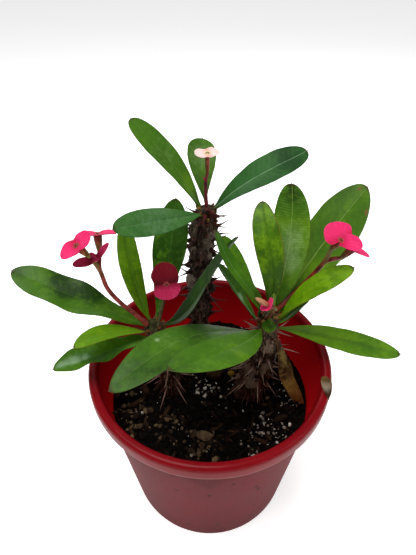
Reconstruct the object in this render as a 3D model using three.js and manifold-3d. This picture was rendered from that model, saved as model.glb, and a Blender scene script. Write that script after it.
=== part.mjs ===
import * as THREE from "three";
import { mergeVertices } from "three/addons/utils/BufferGeometryUtils.js";
import Module from "manifold-3d";

// Crown of thorns (Euphorbia milii) growing in a 140 mm nursery pot. Millimetres, +Z up.
// The origin is the centre of the pot's flat base. +X is the plant's right, -Y its front.

const wasm = await Module();
wasm.setup();

// ---- driving dimensions ----
const gap = 0.35; // air left between neighbouring pieces
const seatGap = 0.5; // air between the soil or the rim and what it carries or meets

const rimRadius = 70;
const potHeight = 116;
const potBaseRadius = 54.6;
const wallTaper = 0.098; // growth of the wall's radius for each mm of height
const wallThickness = 1.3;
const floorThickness = 2;
const lipHeight = 8.5; // the rolled rim's outer band
const lipRoof = 3.2; // thickness of the rolled rim's top
const drainRadius = 4.5;
const drainCircle = 36;
const potSides = 36;

const soilLevel = 81.5;
const soilRelief = 1.3;
const grainCount = 24; // lumps that stand out of the soil

const bladeThickness = 0.8;
const bractThickness = 0.7;
const usualCup = [8, 2.1, 1]; // length of a flower's cup, and radius at its mouth and foot
const cupDrop = 1.3; // distance of the cup's mouth behind the middle of the flower
const petioleHalfWidth = 0.95;
const stemSides = 10;
const stemBuried = 26; // length of each stem below the soil's surface
const domeShare = 0.5; // radius of a stem at the very top of its rounded crown, as a share
const bulge = 0.12; // height of the bulges round a stem, as a share of its radius
const bulgeStart = [13, 19]; // the bulges set in between these distances below the crown
const thornRadius = 0.85;
const thornRoot = 2.4; // how deep a thorn's root sits in the stem
const thornRise = { foot: -50, gain: 50, spread: 35 }; // angle at the foot, more by the crown, and its play
const thornBend = 0.3; // how far its tip may bend up or down, as a share of its length
const thornClearance = 1.2; // least distance from a thorn's middle line to a leaf or flower
const thornAboveSoil = 3.5;
const crownZone = 14; // thorns this close to the crown are short
const scarTurn = 137.5; // turn from one pair of thorns to the next
const pairSpread = 22; // half the angle between the two thorns of a pair

// Each stem: foot on the soil [x, y], the point that its middle bends towards, crown, radius at the foot and
// under the crown, what its middle is stouter by, depth of its rounded top, number of pairs of thorns, the
// shortest and longest thorn, crowding, which is 1 for thorns spread evenly along the stem and more for
// thorns that crowd to its top, and the seed of their draws.
const stems = {
  middle: {
    foot: [-5.8, 41.4], bend: [-8.5, 41, 132.4], crown: [-1.5, 38, 191],
    footRadius: 6.2, topRadius: 6.4, belly: 1.6, dome: 14, pairs: 42, thorns: [11, 15], crowding: 1.8,
    seed: 30,
  },
  left: {
    foot: [-24.1, 0.1], bend: [-24.1, 0.1, 110.8], crown: [-31, -2, 143],
    footRadius: 5.8, topRadius: 5, belly: 0, dome: 5, pairs: 28, thorns: [9, 18], crowding: 1.2,
    seed: 31,
  },
  right: {
    foot: [24.5, -1.5], bend: [33, -1.5, 115], crown: [31.5, -1, 150],
    footRadius: 9.2, topRadius: 4.8, belly: 0, dome: 5, pairs: 34, thorns: [9, 18], crowding: 1.2,
    seed: 27,
  },
};

const tones = { mid: 0x4c7d2c, young: 0x6d9620, deep: 0x2f5a22, blue: 0x3f6e48, dry: 0x8a6a34 };

// Leaves. drop: mm below the crown where the leaf leaves the stem. turn: azimuth from +X.
// rise: angle above level. arch: bow of the midrib above its chord. sweep: its bow in the blade's own plane.
// roll and twist: turn of the face about the midrib at the base, and more by the tip.
// fold: angle of each half up from the midrib. wave and waves: height and number of the edge's ripples.
// broadest: where the blade is widest, from 0 at the base to 1 at the tip.
// point: 0.5 for a round tip, more for a pointed one. tone: its colour, mid green where none is given.
const leaves = {
  middle: [
    { name: "up_left", drop: 1, turn: 161, rise: 49.8, length: 57.2, width: 16.5, fold: 8,
      twist: -19, arch: 5.4, sweep: -2.2, broadest: 0.62, point: 0.46 },
    { name: "up_back", drop: 1, turn: 94.9, rise: 45.6, length: 38.3, width: 18.5, fold: 6,
      roll: 24, twist: 4, arch: 4.2, sweep: -4.2, broadest: 0.72 },
    { name: "up_right", drop: 2, turn: 13, rise: 29.6, length: 57.7, width: 20.5, fold: 10,
      twist: 24, arch: 5.5, sweep: 2.1, broadest: 0.6, point: 0.46, tone: "blue" },
    { name: "front", drop: 3, turn: -131.9, rise: 16.7, length: 58.9, width: 14, fold: 6,
      roll: -38, twist: -10, arch: 1.3, broadest: 0.65, tone: "blue" },
  ],
  left: [
    { name: "long", drop: 4, turn: 171, rise: 23, length: 76.1, width: 20, fold: 8,
      twist: -18, arch: 2.7, sweep: -1.6, broadest: 0.64, point: 0.54, wave: 1.5, waves: 2.5 },
    { name: "young", drop: 6, turn: -152, rise: 13, length: 39.1, width: 11, fold: 8,
      roll: -7, arch: 2, sweep: 3.9, broadest: 0.65, point: 0.55, tone: "young" },
    { name: "folded", drop: 10, turn: -159, rise: -5, length: 52.1, width: 16, fold: 24,
      roll: -6, broadest: 0.59, point: 0.52, wave: -1.6, waves: 1.5, tone: "deep" },
    { name: "upright", drop: 1, turn: 132, rise: 76.9, length: 57, width: 11.5, fold: 6,
      roll: -6, sweep: -2.4, broadest: 0.63, tone: "young" },
    { name: "back", drop: 1, turn: 72, rise: 56, length: 66, width: 22.5, fold: 6,
      roll: -3, twist: -18, arch: -2.3, broadest: 0.68, point: 0.6, tone: "deep" },
    { name: "cross", drop: 4, turn: 17, rise: 50.9, length: 64.1, width: 19, fold: 14,
      roll: 2, twist: -35, arch: 0.9, sweep: 12, broadest: 0.65, point: 0.52, tone: "deep" },
  ],
  right: [
    { name: "far_left", drop: 12.6, turn: -146.7, rise: 8.4, length: 85.8, width: 23, fold: 4,
      roll: 30, twist: -45, arch: 8.9, sweep: 5.3, broadest: 0.58, point: 0.62 },
    { name: "near_left", drop: 9.5, turn: -135.5, rise: 18.9, length: 66.7, width: 21.5, fold: 3,
      twist: 6, arch: 2.2, sweep: -5.4, broadest: 0.6, point: 0.58 },
    { name: "right", drop: 11, turn: -10.6, rise: -6.6, length: 65.7, width: 16.5, fold: 8,
      roll: 21, twist: -22, arch: -5, sweep: -4.6, broadest: 0.67, point: 0.53 },
    { name: "light_upright", drop: 1, turn: 102, rise: 67.5, length: 57.2, width: 14, fold: 4,
      twist: -30, arch: 10, sweep: 2.4, broadest: 0.66, point: 0.51, tone: "young" },
    { name: "ribbed_upright", drop: 4.5, turn: 73.4, rise: 65.4, length: 68.6, width: 20, fold: 6,
      roll: 5, twist: 3, sweep: 4, broadest: 0.6, point: 0.46 },
    { name: "broad_back", drop: 8, turn: 40.9, rise: 41, length: 83.9, width: 31, fold: 6,
      roll: 38, twist: 35, sweep: -2.6, broadest: 0.69, point: 0.57 },
    { name: "light_right", drop: 6, turn: 0, rise: 47.4, length: 47.8, width: 15, fold: 8,
      roll: -9, twist: 17, arch: 6.6, sweep: 2.7, broadest: 0.64, tone: "young" },
    { name: "small_right", drop: 8, turn: 3, rise: 48, length: 21, width: 12, fold: 8,
      roll: -16, twist: -8, broadest: 0.52, tone: "deep" },
    { name: "narrow", drop: 5, turn: 165.6, rise: 64.9, length: 56.2, width: 7.5, fold: 25,
      twist: -44, arch: 12, sweep: -8.1, broadest: 0.61, tone: "deep" },
    { name: "pale_back", drop: 4, turn: 134.3, rise: 48.9, length: 46.3, width: 12, fold: 8,
      twist: -2, arch: -0.5, broadest: 0.66, point: 0.52, tone: "deep" },
    { name: "glossy", drop: 8, turn: 169.6, rise: 58.1, length: 41.8, width: 10.5, fold: 20,
      broadest: 0.62, tone: "deep" },
    { name: "small_front", drop: 2.5, turn: -98, rise: 12, length: 12, width: 8.5, fold: 25 },
    { name: "sprout", drop: 0.5, turn: 272, rise: 86, length: 17, width: 3.6, fold: 30, tone: "young" },
    { name: "dried", drop: 17, turn: -30, rise: -64.5, length: 49.5, width: 12, fold: -22,
      twist: 20, arch: 2, sweep: 4, broadest: 0.48, point: 0.75, wave: 0.8, tone: "dry" },
  ],
};

// ---- helpers ----
function weld(geometry) {
  const bare = geometry.index ? geometry.clone() : geometry;
  bare.deleteAttribute("normal");
  bare.deleteAttribute("uv");
  const welded = mergeVertices(bare, 1e-4);
  const kept = [];
  const index = welded.index.array;
  for (let i = 0; i < index.length; i += 3) {
    const [a, b, c] = [index[i], index[i + 1], index[i + 2]];
    if (a !== b && b !== c && c !== a) kept.push(a, b, c);
  }
  welded.setIndex(kept);
  return welded;
}

function toSolid(geometry) {
  const welded = weld(geometry);
  const vertProperties = new Float32Array(welded.attributes.position.array);
  const triVerts = new Uint32Array(welded.index.array);
  return new wasm.Manifold(new wasm.Mesh({ numProp: 3, vertProperties, triVerts }));
}

function fromSolid(solid) {
  const mesh = solid.getMesh();
  const geometry = new THREE.BufferGeometry();
  geometry.setAttribute("position", new THREE.BufferAttribute(mesh.vertProperties, 3));
  geometry.setIndex(new THREE.BufferAttribute(mesh.triVerts, 1));
  return geometry;
}

const vector = (p) => new THREE.Vector3(...p);
const radians = THREE.MathUtils.degToRad;

// Direction of a thing that leaves at an azimuth and rises at an angle, and the face that looks up from it.
function heading(turn, rise) {
  const [a, r] = [radians(turn), radians(rise)];
  const along = new THREE.Vector3(Math.cos(a) * Math.cos(r), Math.sin(a) * Math.cos(r), Math.sin(r));
  const face = new THREE.Vector3(-Math.cos(a) * Math.sin(r), -Math.sin(a) * Math.sin(r), Math.cos(r));
  return { along, face };
}

// Repeatable draws between 0 and 1.
function draws(seed) {
  let state = seed;
  return () => {
    state = (state * 1664525 + 1013904223) % 4294967296;
    return state / 4294967296;
  };
}

// ---- blades ----
// A thin closed blade: the same grid makes its upper and lower skins, so both are split alike, and a band
// joins their edges. at(t, v) gives the middle surface, t from base 0 to tip 1 and v from side -1 to side 1.
function blade({ at, face, thickness = bladeThickness, rows = 8, columns = 4 }) {
  const grid = new THREE.PlaneGeometry(2, 1, columns, rows);
  const places = grid.attributes.position;
  const count = places.count;
  const skin = new Float32Array(count * 6);
  for (let i = 0; i < count; i += 1) {
    const even = places.getY(i) + 0.5;
    const t = 1 - (1 - even) ** 1.7;
    const middle = at(t, places.getX(i));
    const half = face(t).clone().multiplyScalar(thickness / 2);
    middle.clone().add(half).toArray(skin, i * 3);
    middle.clone().sub(half).toArray(skin, (count + i) * 3);
  }
  const upper = [...grid.index.array];
  const lower = [];
  for (let i = 0; i < upper.length; i += 3) {
    lower.push(upper[i] + count, upper[i + 2] + count, upper[i + 1] + count);
  }
  const edge = [];
  for (let c = 0; c < columns; c += 1) edge.push(c);
  for (let r = 0; r < rows; r += 1) edge.push(columns + r * (columns + 1));
  for (let c = columns; c > 0; c -= 1) edge.push(rows * (columns + 1) + c);
  for (let r = rows; r > 0; r -= 1) edge.push(r * (columns + 1));
  const band = [];
  edge.forEach((a, k) => {
    const b = edge[(k + 1) % edge.length];
    band.push(a, b, a + count, b, b + count, a + count);
  });
  const geometry = new THREE.BufferGeometry();
  geometry.setAttribute("position", new THREE.BufferAttribute(skin, 3));
  geometry.setIndex([...upper, ...lower, ...band]);
  return geometry;
}

// Half the width at t, as a share of the widest: t^a (1 - t)^b, brought to 1 at its highest point.
function outline(t, broadest, point) {
  const a = (point * broadest) / (1 - broadest);
  const peak = broadest ** a * (1 - broadest) ** point;
  return (t ** a * (1 - t) ** point) / peak;
}

function leafGeometry(leaf, root) {
  const { turn, rise, length, width, fold = 5, arch = 0, sweep = 0, roll = 0, twist = 0 } = leaf;
  const { wave = 0, waves = 2, broadest = 0.64, point = 0.5 } = leaf;
  const { along, face } = heading(turn, rise);
  const frames = (t) => {
    const angle = radians(roll + twist * t);
    const up = face.clone().applyAxisAngle(along, angle);
    return { up, side: along.clone().cross(up) };
  };
  const at = (t, v) => {
    const { up, side } = frames(t);
    const half = Math.max((width / 2) * outline(t, broadest, point), petioleHalfWidth * (1 - t) + 0.5 * t);
    const bow = 4 * t * (1 - t);
    const ripple = wave * Math.sin(2 * Math.PI * waves * t) * Math.sin(Math.PI * t) * v * Math.abs(v);
    const lift = half * Math.abs(v) * Math.sin(radians(fold)) + ripple + arch * bow;
    const across = half * v * Math.cos(radians(fold)) + sweep * bow;
    return root.clone().addScaledVector(along, length * t)
      .addScaledVector(up, lift).addScaledVector(side, across);
  };
  return blade({ at, face: (t) => frames(t).up, rows: wave ? 11 : 8 });
}

// ---- stems ----
// The stem stands straight in the soil, then follows a curve that leaves its foot towards its bend.
function stemPath({ foot, bend, crown }) {
  const start = new THREE.Vector3(foot[0], foot[1], soilLevel + 3);
  return new THREE.QuadraticBezierCurve3(start, vector(bend), vector(crown));
}

// The radius goes evenly from foot to crown, with a belly between them, and rounds in over the dome.
function stemRadius(stem, drop, height) {
  const share = drop / height;
  const belly = stem.belly * 4 * share * (1 - share);
  const even = THREE.MathUtils.lerp(stem.topRadius, stem.footRadius, share) + belly;
  return even * (domeShare + (1 - domeShare) * Math.min(1, drop / stem.dome));
}

function stemBody(stem) {
  const path = stemPath(stem);
  const height = path.getLength();
  const rings = Math.round(height / 6.5);
  const drops = Array.from({ length: rings }, (_, k) => height + (stem.dome - height) * (k / (rings - 1)));
  drops.push(0);
  const geometry = new THREE.CylinderGeometry(1, 1, 1, stemSides, drops.length);
  const places = geometry.attributes.position;
  for (let i = 0; i < places.count; i += 1) {
    const ring = Math.round((places.getY(i) + 0.5) * drops.length);
    const drop = drops[Math.max(0, ring - 1)];
    const centre = path.getPoint(1 - drop / height);
    if (ring === 0) centre.z = soilLevel - stemBuried;
    const angle = Math.atan2(places.getX(i), places.getZ(i));
    const knobbly = ring > 1 ? THREE.MathUtils.smoothstep(drop, ...bulgeStart) : 0;
    const swell = 1 + bulge * knobbly * Math.cos(3 * angle + ring * 2.1);
    const radius = Math.hypot(places.getX(i), places.getZ(i)) * stemRadius(stem, drop, height) * swell;
    places.setXYZ(i, centre.x + Math.cos(angle) * radius, centre.y + Math.sin(angle) * radius, centre.z);
  }
  return geometry;
}

// A bent three-sided thorn from root along a direction, hanging or lifting at its tip by bend.
function thorn(root, along, length, bend) {
  const geometry = new THREE.ConeGeometry(thornRadius, length, 3, 2);
  const places = geometry.attributes.position;
  const turned = new THREE.Quaternion().setFromUnitVectors(new THREE.Vector3(0, 1, 0), along);
  for (let i = 0; i < places.count; i += 1) {
    const share = places.getY(i) / length + 0.5;
    const local = new THREE.Vector3(places.getX(i), places.getY(i) + length / 2, places.getZ(i));
    const place = local.applyQuaternion(turned).add(root);
    places.setXYZ(i, place.x, place.y, place.z + bend * share * share);
  }
  return geometry;
}

// True where every point on the thorn's line keeps its distance from every triangle.
function isClear(points, triangles, distance) {
  const nearest = new THREE.Vector3();
  return points.every((point) => triangles.every((triangle) => {
    triangle.closestPointToPoint(point, nearest);
    return nearest.distanceTo(point) > distance;
  }));
}

function trianglesOf(geometry) {
  const welded = weld(geometry);
  const places = welded.attributes.position;
  const index = welded.index.array;
  const triangles = [];
  for (let i = 0; i < index.length; i += 3) {
    const corners = [0, 1, 2].map((k) => new THREE.Vector3().fromBufferAttribute(places, index[i + k]));
    triangles.push(new THREE.Triangle(...corners));
  }
  return triangles;
}

// Thorns stand in pairs along a spiral of leaf scars, and a thorn that would meet a neighbour is left out.
function stemSolid(stem, obstacles) {
  const draw = draws(stem.seed);
  const path = stemPath(stem);
  const height = path.getLength();
  const [shortest, longest] = stem.thorns;
  let solid = toSolid(stemBody(stem));
  for (let k = 0; k < stem.pairs; k += 1) {
    const share = 0.99 - 0.93 * (1 - (k + draw() * 0.6) / stem.pairs) ** stem.crowding;
    const drop = (1 - share) * height;
    const most = drop < crownZone ? (shortest + longest) / 2 : longest;
    for (const side of [-1, 1]) {
      const turn = k * scarTurn + side * pairSpread + draw() * 14;
      const rise = thornRise.foot + thornRise.gain * share + thornRise.spread * draw();
      const { along } = heading(turn, rise);
      const length = THREE.MathUtils.lerp(shortest, most, draw());
      const bend = (2 * draw() - 1) * thornBend * length;
      const radius = stemRadius(stem, drop, height) - thornRoot;
      const root = path.getPoint(share).addScaledVector(heading(turn, 0).along, radius);
      const line = [0.25, 0.4, 0.55, 0.7, 0.85, 1].map((s) => {
        const point = root.clone().addScaledVector(along, length * s);
        point.z += bend * s * s;
        return point;
      });
      const aboveSoil = line.every((point) => point.z > soilLevel + thornAboveSoil);
      if (!aboveSoil || !isClear(line, obstacles, thornClearance)) continue;
      solid = solid.add(toSolid(thorn(root, along, length, bend)));
    }
  }
  return solid;
}

// ---- flowers ----
function tube(points, radius, steps = 8) {
  const section = new THREE.Shape();
  const sides = 5;
  for (let k = 0; k < sides; k += 1) {
    const angle = (k / sides) * 2 * Math.PI;
    const [x, y] = [radius * Math.cos(angle), radius * Math.sin(angle)];
    if (k === 0) section.moveTo(x, y);
    else section.lineTo(x, y);
  }
  section.closePath();
  const extrudePath = new THREE.CatmullRomCurve3(points.map(vector));
  return new THREE.ExtrudeGeometry(section, { steps, extrudePath, bevelEnabled: false });
}

// The tapering cup that carries a flower. Its mouth lies just behind the flower's centre.
function cupGeometry({ centre, turn, rise, cup = usualCup }) {
  const { along } = heading(turn, rise);
  const [length, mouth, foot] = cup;
  const geometry = new THREE.CylinderGeometry(mouth, foot, length, 7, 1);
  geometry.applyQuaternion(new THREE.Quaternion().setFromUnitVectors(new THREE.Vector3(0, 1, 0), along));
  const middle = vector(centre).addScaledVector(along, -length / 2 - cupDrop);
  return geometry.translate(middle.x, middle.y, middle.z);
}

// Where a stalk enters the cup of a flower.
function cupBase({ centre, turn, rise, cup = usualCup }) {
  return vector(centre).addScaledVector(heading(turn, rise).along, -cup[0]).toArray();
}

// A broad bract: half an ellipse and more, from a point along a direction, its face turned to facing.
function bract({ origin, along, facing, length, width, lift }) {
  const side = along.clone().cross(facing);
  const [level, raise] = [Math.cos(radians(lift)), Math.sin(radians(lift))];
  const at = (t, v) => {
    const half = Math.max((width / 2) * Math.sqrt(1 - ((t - 0.4) / 0.6) ** 2), 0.8);
    const rim = 0.1 * half * Math.abs(v) * (1 + t);
    return origin.clone().addScaledVector(along, length * t * level - 0.6)
      .addScaledVector(facing, length * t * raise + rim).addScaledVector(side, half * v);
  };
  return blade({ at, face: () => facing, thickness: bractThickness, rows: 4 });
}

// A flower is two broad bracts across a small domed eye, or a long eye where it is still a bud. Each bract
// is turned about the flower's facing by its own angle.
function bloomSolid({ centre, turn, rise, angles, first, second, lift = 12, eye = [1.7, 1.5] }) {
  const { along: facing, face } = heading(turn, rise);
  const origin = vector(centre);
  const [eyeRadius, eyeHeight] = eye;
  const dome = new THREE.SphereGeometry(1, 6, 4).scale(eyeRadius, eyeRadius, eyeHeight);
  dome.applyQuaternion(new THREE.Quaternion().setFromUnitVectors(new THREE.Vector3(0, 0, 1), facing));
  dome.translate(...origin.clone().addScaledVector(facing, eyeHeight - 0.8).toArray());
  let solid = toSolid(dome);
  for (const [k, [length, width]] of [first, second].entries()) {
    const along = face.clone().applyAxisAngle(facing, radians(angles[k]));
    solid = solid.add(toSolid(bract({ origin, along, facing, length, width, lift })));
  }
  return solid;
}

// Flowers: centre of the eye, azimuth and rise of the way it looks, angles of its two bracts about that way,
// [length, width] of both, their lift above level, [radius, height] of the eye, and the cup where it isn't
// the usual one.
const blooms = {
  top: {
    centre: [-1.4, 41, 219.6], turn: -90, rise: 84, angles: [-82, 98],
    first: [7, 9.5], second: [7.2, 9.5], lift: 3, cup: [11, 1.2, 0.7],
  },
  left_side: {
    centre: [-61.1, -5, 194.4], turn: 225, rise: 60, angles: [-16, 168],
    first: [9, 10.5], second: [9.5, 10.5], lift: 4,
  },
  left_top: {
    centre: [-54.9, 8.2, 191.9], turn: 98, rise: 70, angles: [90, 270],
    first: [9.5, 10.5], second: [11, 11], lift: 2,
  },
  middle: {
    centre: [-21.8, -3, 170.3], turn: -88, rise: 32, angles: [6, 187],
    first: [12, 13.5], second: [8.5, 13.5],
  },
  right_big: {
    centre: [61.9, 3, 192.1], turn: -60, rise: 60, angles: [24, -128],
    first: [10.2, 18], second: [11.8, 9], lift: 6,
  },
  right_small: {
    centre: [71.4, 9, 183.4], turn: -20, rise: 58, angles: [20, 200],
    first: [3.5, 6], second: [11.5, 6], lift: 2,
  },
  right_bud: {
    centre: [28.8, -12.3, 164.1], turn: 190, rise: 40, angles: [-20, 170],
    first: [5.5, 6.5], second: [5, 5.4], lift: 20, eye: [1.5, 6], cup: [4, 1.6, 0.9],
  },
};

// Stalks: the points that each branch follows, and the flower whose cup ends it. The first branch starts at
// the stem and the others at a fork. bracts are small blades on a branch: root, direction, length and width.
const leftFork = [-53.6, -3.6, 180.3];
const rightFork = [57.9, 6.4, 177.6];
const stalks = {
  top: {
    radius: 0.95,
    paths: [[[-1.8, 38.1, 191.5], [-2.3, 38.8, 199], [-2.2, 39.6, 206], "top"]],
    bracts: [{ from: [-2.3, 39.4, 205], turn: 190, rise: 62, length: 3.6, width: 2.4 }],
  },
  left: {
    radius: 1.15,
    paths: [
      [
        [-34, -3.9, 143], [-38.2, -5.4, 150.7], [-44.8, -6.5, 160.2], [-50.6, -6, 170],
        leftFork, "left_side",
      ],
      [leftFork, "left_top"],
    ],
    bracts: [
      { from: [-54.2, -0.4, 184.6], turn: 10, rise: 50, length: 11, width: 4 },
      { from: [-54.2, -0.4, 184.6], turn: 200, rise: 35, length: 5, width: 5 },
      { from: [-56.2, -4.2, 185.6], turn: 185, rise: -13, length: 10.5, width: 6 },
      { from: [-56.2, -4.2, 185.6], turn: 20, rise: -10, length: 4, width: 3 },
    ],
  },
  middle: {
    radius: 0.85,
    paths: [[[-27.7, -4.8, 142.3], [-26.4, -4, 149], [-24, 2, 157], "middle"]],
    bracts: [],
  },
  right: {
    radius: 1.25,
    paths: [
      [
        [35.2, 0.9, 148.2], [41.4, 6, 151], [48.6, 10.2, 156.8], [54, 9.2, 166.6],
        rightFork, "right_big",
      ],
      [rightFork, [61.5, 7, 178.2], "right_small"],
    ],
    bracts: [],
  },
  bud: {
    radius: 0.9,
    paths: [[[29.5, -4.4, 148.9], [29.8, -8.6, 152.6], [30.8, -11.8, 159.2], "right_bud"]],
    bracts: [],
  },
};

function stalkSolid({ radius, paths, bracts }) {
  const solids = [];
  for (const path of paths) {
    const points = path.filter((point) => typeof point !== "string");
    const flower = blooms[path.at(-1)];
    if (flower) {
      solids.push(toSolid(cupGeometry(flower)));
      points.push(cupBase(flower));
    }
    solids.push(toSolid(tube(points, radius, 2 * points.length)));
  }
  for (const { from, turn, rise, length, width } of bracts) {
    const { along, face } = heading(turn, rise);
    solids.push(toSolid(bract({ origin: vector(from), along, facing: face, length, width, lift: 0 })));
  }
  return solids.reduce((whole, solid) => whole.add(solid));
}

// ---- pot ----
function potSolid() {
  const radiusAt = (z) => potBaseRadius + wallTaper * z;
  const lipBottom = potHeight - lipHeight;
  const roof = potHeight - lipRoof;
  const innerTop = radiusAt(roof) - wallThickness;
  const profile = [
    [0, 0],
    [potBaseRadius - 1, 0],
    [potBaseRadius, 1],
    [radiusAt(lipBottom), lipBottom],
    [radiusAt(roof), roof],
    [rimRadius - wallThickness, roof],
    [rimRadius - wallThickness, lipBottom],
    [rimRadius - 0.2, lipBottom],
    [rimRadius, lipBottom + 1],
    [rimRadius, potHeight - 2],
    [rimRadius - 1, potHeight - 0.4],
    [rimRadius - 2.6, potHeight],
    [innerTop + 1.2, potHeight - 0.5],
    [innerTop, roof],
    [radiusAt(floorThickness) - wallThickness, floorThickness],
    [0, floorThickness],
  ];
  const shell = new THREE.LatheGeometry(profile.map(([r, z]) => new THREE.Vector2(r, z)), potSides);
  shell.rotateX(Math.PI / 2);
  let solid = toSolid(shell);
  for (let k = 0; k < 4; k += 1) {
    const hole = new THREE.CylinderGeometry(drainRadius, drainRadius, 4 * floorThickness, 12);
    hole.rotateX(Math.PI / 2).translate(drainCircle, 0, 0).rotateZ((k + 0.5) * Math.PI / 2);
    solid = solid.subtract(toSolid(hole));
  }
  return solid;
}

// ---- soil ----
function soilHeight(x, y) {
  const broad = Math.sin(x * 0.11 + 1.3) * Math.cos(y * 0.13 - 0.4);
  const fine = Math.sin(x * 0.41 + y * 0.23) * Math.cos(y * 0.37 - x * 0.19);
  return soilLevel + soilRelief * (0.6 * broad + 0.4 * fine);
}

function soilSolid() {
  const innerRadius = (z) => potBaseRadius + wallTaper * z - wallThickness - seatGap;
  const edge = innerRadius(soilLevel);
  const rings = [0, 8, 17, 26, 35, 44, 53, edge];
  const bottom = floorThickness + gap;
  const top = rings.map((r) => [r, soilLevel]);
  const profile = [...top, [innerRadius(bottom), bottom], [0, bottom]].reverse();
  const geometry = new THREE.LatheGeometry(profile.map(([r, z]) => new THREE.Vector2(r, z)), potSides);
  geometry.rotateX(Math.PI / 2);
  const places = geometry.attributes.position;
  for (let i = 0; i < places.count; i += 1) {
    const [x, y, z] = [places.getX(i), places.getY(i), places.getZ(i)];
    if (z > soilLevel - 1) places.setZ(i, soilHeight(x, y));
  }
  let solid = toSolid(geometry);
  const draw = draws(11);
  for (let k = 0; k < grainCount; k += 1) {
    const [radius, angle] = [57 * Math.sqrt(draw()), draw() * 2 * Math.PI];
    const [x, y] = [radius * Math.cos(angle), radius * Math.sin(angle)];
    const size = 1.2 + 1.6 * draw();
    const isUnder = ({ at, size: [long] }) => Math.hypot(x - at[0], y - at[1]) < long + 5;
    if (Object.values(litter).some(isUnder)) continue;
    const grain = new THREE.IcosahedronGeometry(size, 0).scale(1.3, 1, 0.8).rotateZ(draw() * 3);
    solid = solid.add(toSolid(grain.translate(x, y, soilHeight(x, y))));
  }
  for (const stem of Object.values(stems)) {
    const radius = stem.footRadius + gap;
    const depth = stemBuried + gap + 10; // it runs out of the soil's top
    const hole = new THREE.CylinderGeometry(radius, radius, depth, stemSides);
    hole.rotateX(Math.PI / 2).rotateZ(Math.PI / 2);
    hole.translate(stem.foot[0], stem.foot[1], soilLevel - stemBuried - gap + depth / 2);
    solid = solid.subtract(toSolid(hole));
  }
  return solid;
}

// Bits of bark and a pebble lie on the soil, each lifted until it only just rests.
const litter = {
  bark_dark: { at: [3.5, 10.4], size: [6.5, 5, 3.2], turn: 30, colour: 0x2b211c },
  bark_tan: { at: [-2.8, -33.6], size: [5, 3.2, 1.8], turn: -20, colour: 0x7a5b3c },
  pebble: { at: [14, 10.2], size: [2.6, 2.2, 1.8], turn: 10, colour: 0x8a6b35 },
};

function litterGeometry({ at, size, turn }) {
  const geometry = new THREE.IcosahedronGeometry(1, 1).scale(...size).rotateZ(radians(turn));
  geometry.translate(at[0], at[1], soilLevel);
  const places = geometry.attributes.position;
  let lift = -Infinity;
  for (let i = 0; i < places.count; i += 1) {
    lift = Math.max(lift, soilHeight(places.getX(i), places.getY(i)) - places.getZ(i));
  }
  return geometry.translate(0, 0, lift + seatGap);
}

// A dry scrap of leaf lies across the rim.
const scrap = {
  at: [63.2, -18.5, potHeight + bladeThickness / 2 + seatGap],
  turn: -95, rise: 0, length: 14, width: 6, fold: 8, broadest: 0.3, point: 0.8,
};

// ---- assembly ----
const plant = new THREE.Group();
const obstacles = [];

function addPiece(name, geometry, colour, roughness = 0.6) {
  const material = new THREE.MeshStandardMaterial({ color: colour, roughness, metalness: 0 });
  const mesh = new THREE.Mesh(geometry, material);
  mesh.name = name;
  plant.add(mesh);
}

// A leaf starts just off the stem's surface, drop below the crown, in the direction that it grows.
function leafOn(stem, leaf) {
  const path = stemPath(stem);
  const height = path.getLength();
  const tilt = Math.abs(Math.sin(radians(leaf.rise)));
  const cant = Math.abs(Math.sin(radians(leaf.roll ?? 0))) + Math.abs(Math.sin(radians(leaf.fold)));
  const spread = tilt * (0.5 * bladeThickness + petioleHalfWidth * cant);
  const reach = stemRadius(stem, leaf.drop, height) + gap + spread;
  const root = path.getPoint(1 - leaf.drop / height).addScaledVector(heading(leaf.turn, 0).along, reach);
  return weld(leafGeometry(leaf, root));
}

addPiece("pot", fromSolid(potSolid()), 0xa3262e, 0.35);
addPiece("soil", fromSolid(soilSolid()), 0x2a1d16, 0.95);
for (const [name, piece] of Object.entries(litter)) {
  addPiece(name, weld(litterGeometry(piece)), piece.colour, 0.9);
}

for (const [where, list] of Object.entries(leaves)) {
  for (const leaf of list) {
    const geometry = leafOn(stems[where], leaf);
    obstacles.push(...trianglesOf(geometry));
    addPiece(`leaf_${where}_${leaf.name}`, geometry, tones[leaf.tone ?? "mid"], 0.45);
  }
}

addPiece("leaf_scrap", weld(leafGeometry(scrap, vector(scrap.at))), 0x6d6250, 0.8);

for (const [name, bloom] of Object.entries(blooms)) {
  const geometry = fromSolid(bloomSolid(bloom));
  obstacles.push(...trianglesOf(geometry));
  addPiece(`bloom_${name}`, geometry, name === "top" ? 0xf3c9c6 : 0xd92a66, 0.5);
}

for (const [name, stalk] of Object.entries(stalks)) {
  const geometry = fromSolid(stalkSolid(stalk));
  obstacles.push(...trianglesOf(geometry));
  addPiece(`stalk_${name}`, geometry, 0x7a3426, 0.6);
}

for (const [where, stem] of Object.entries(stems)) {
  addPiece(`stem_${where}`, fromSolid(stemSolid(stem, obstacles)), 0x5d5044, 0.85);
}

export default plant;
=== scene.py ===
import itertools

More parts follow.
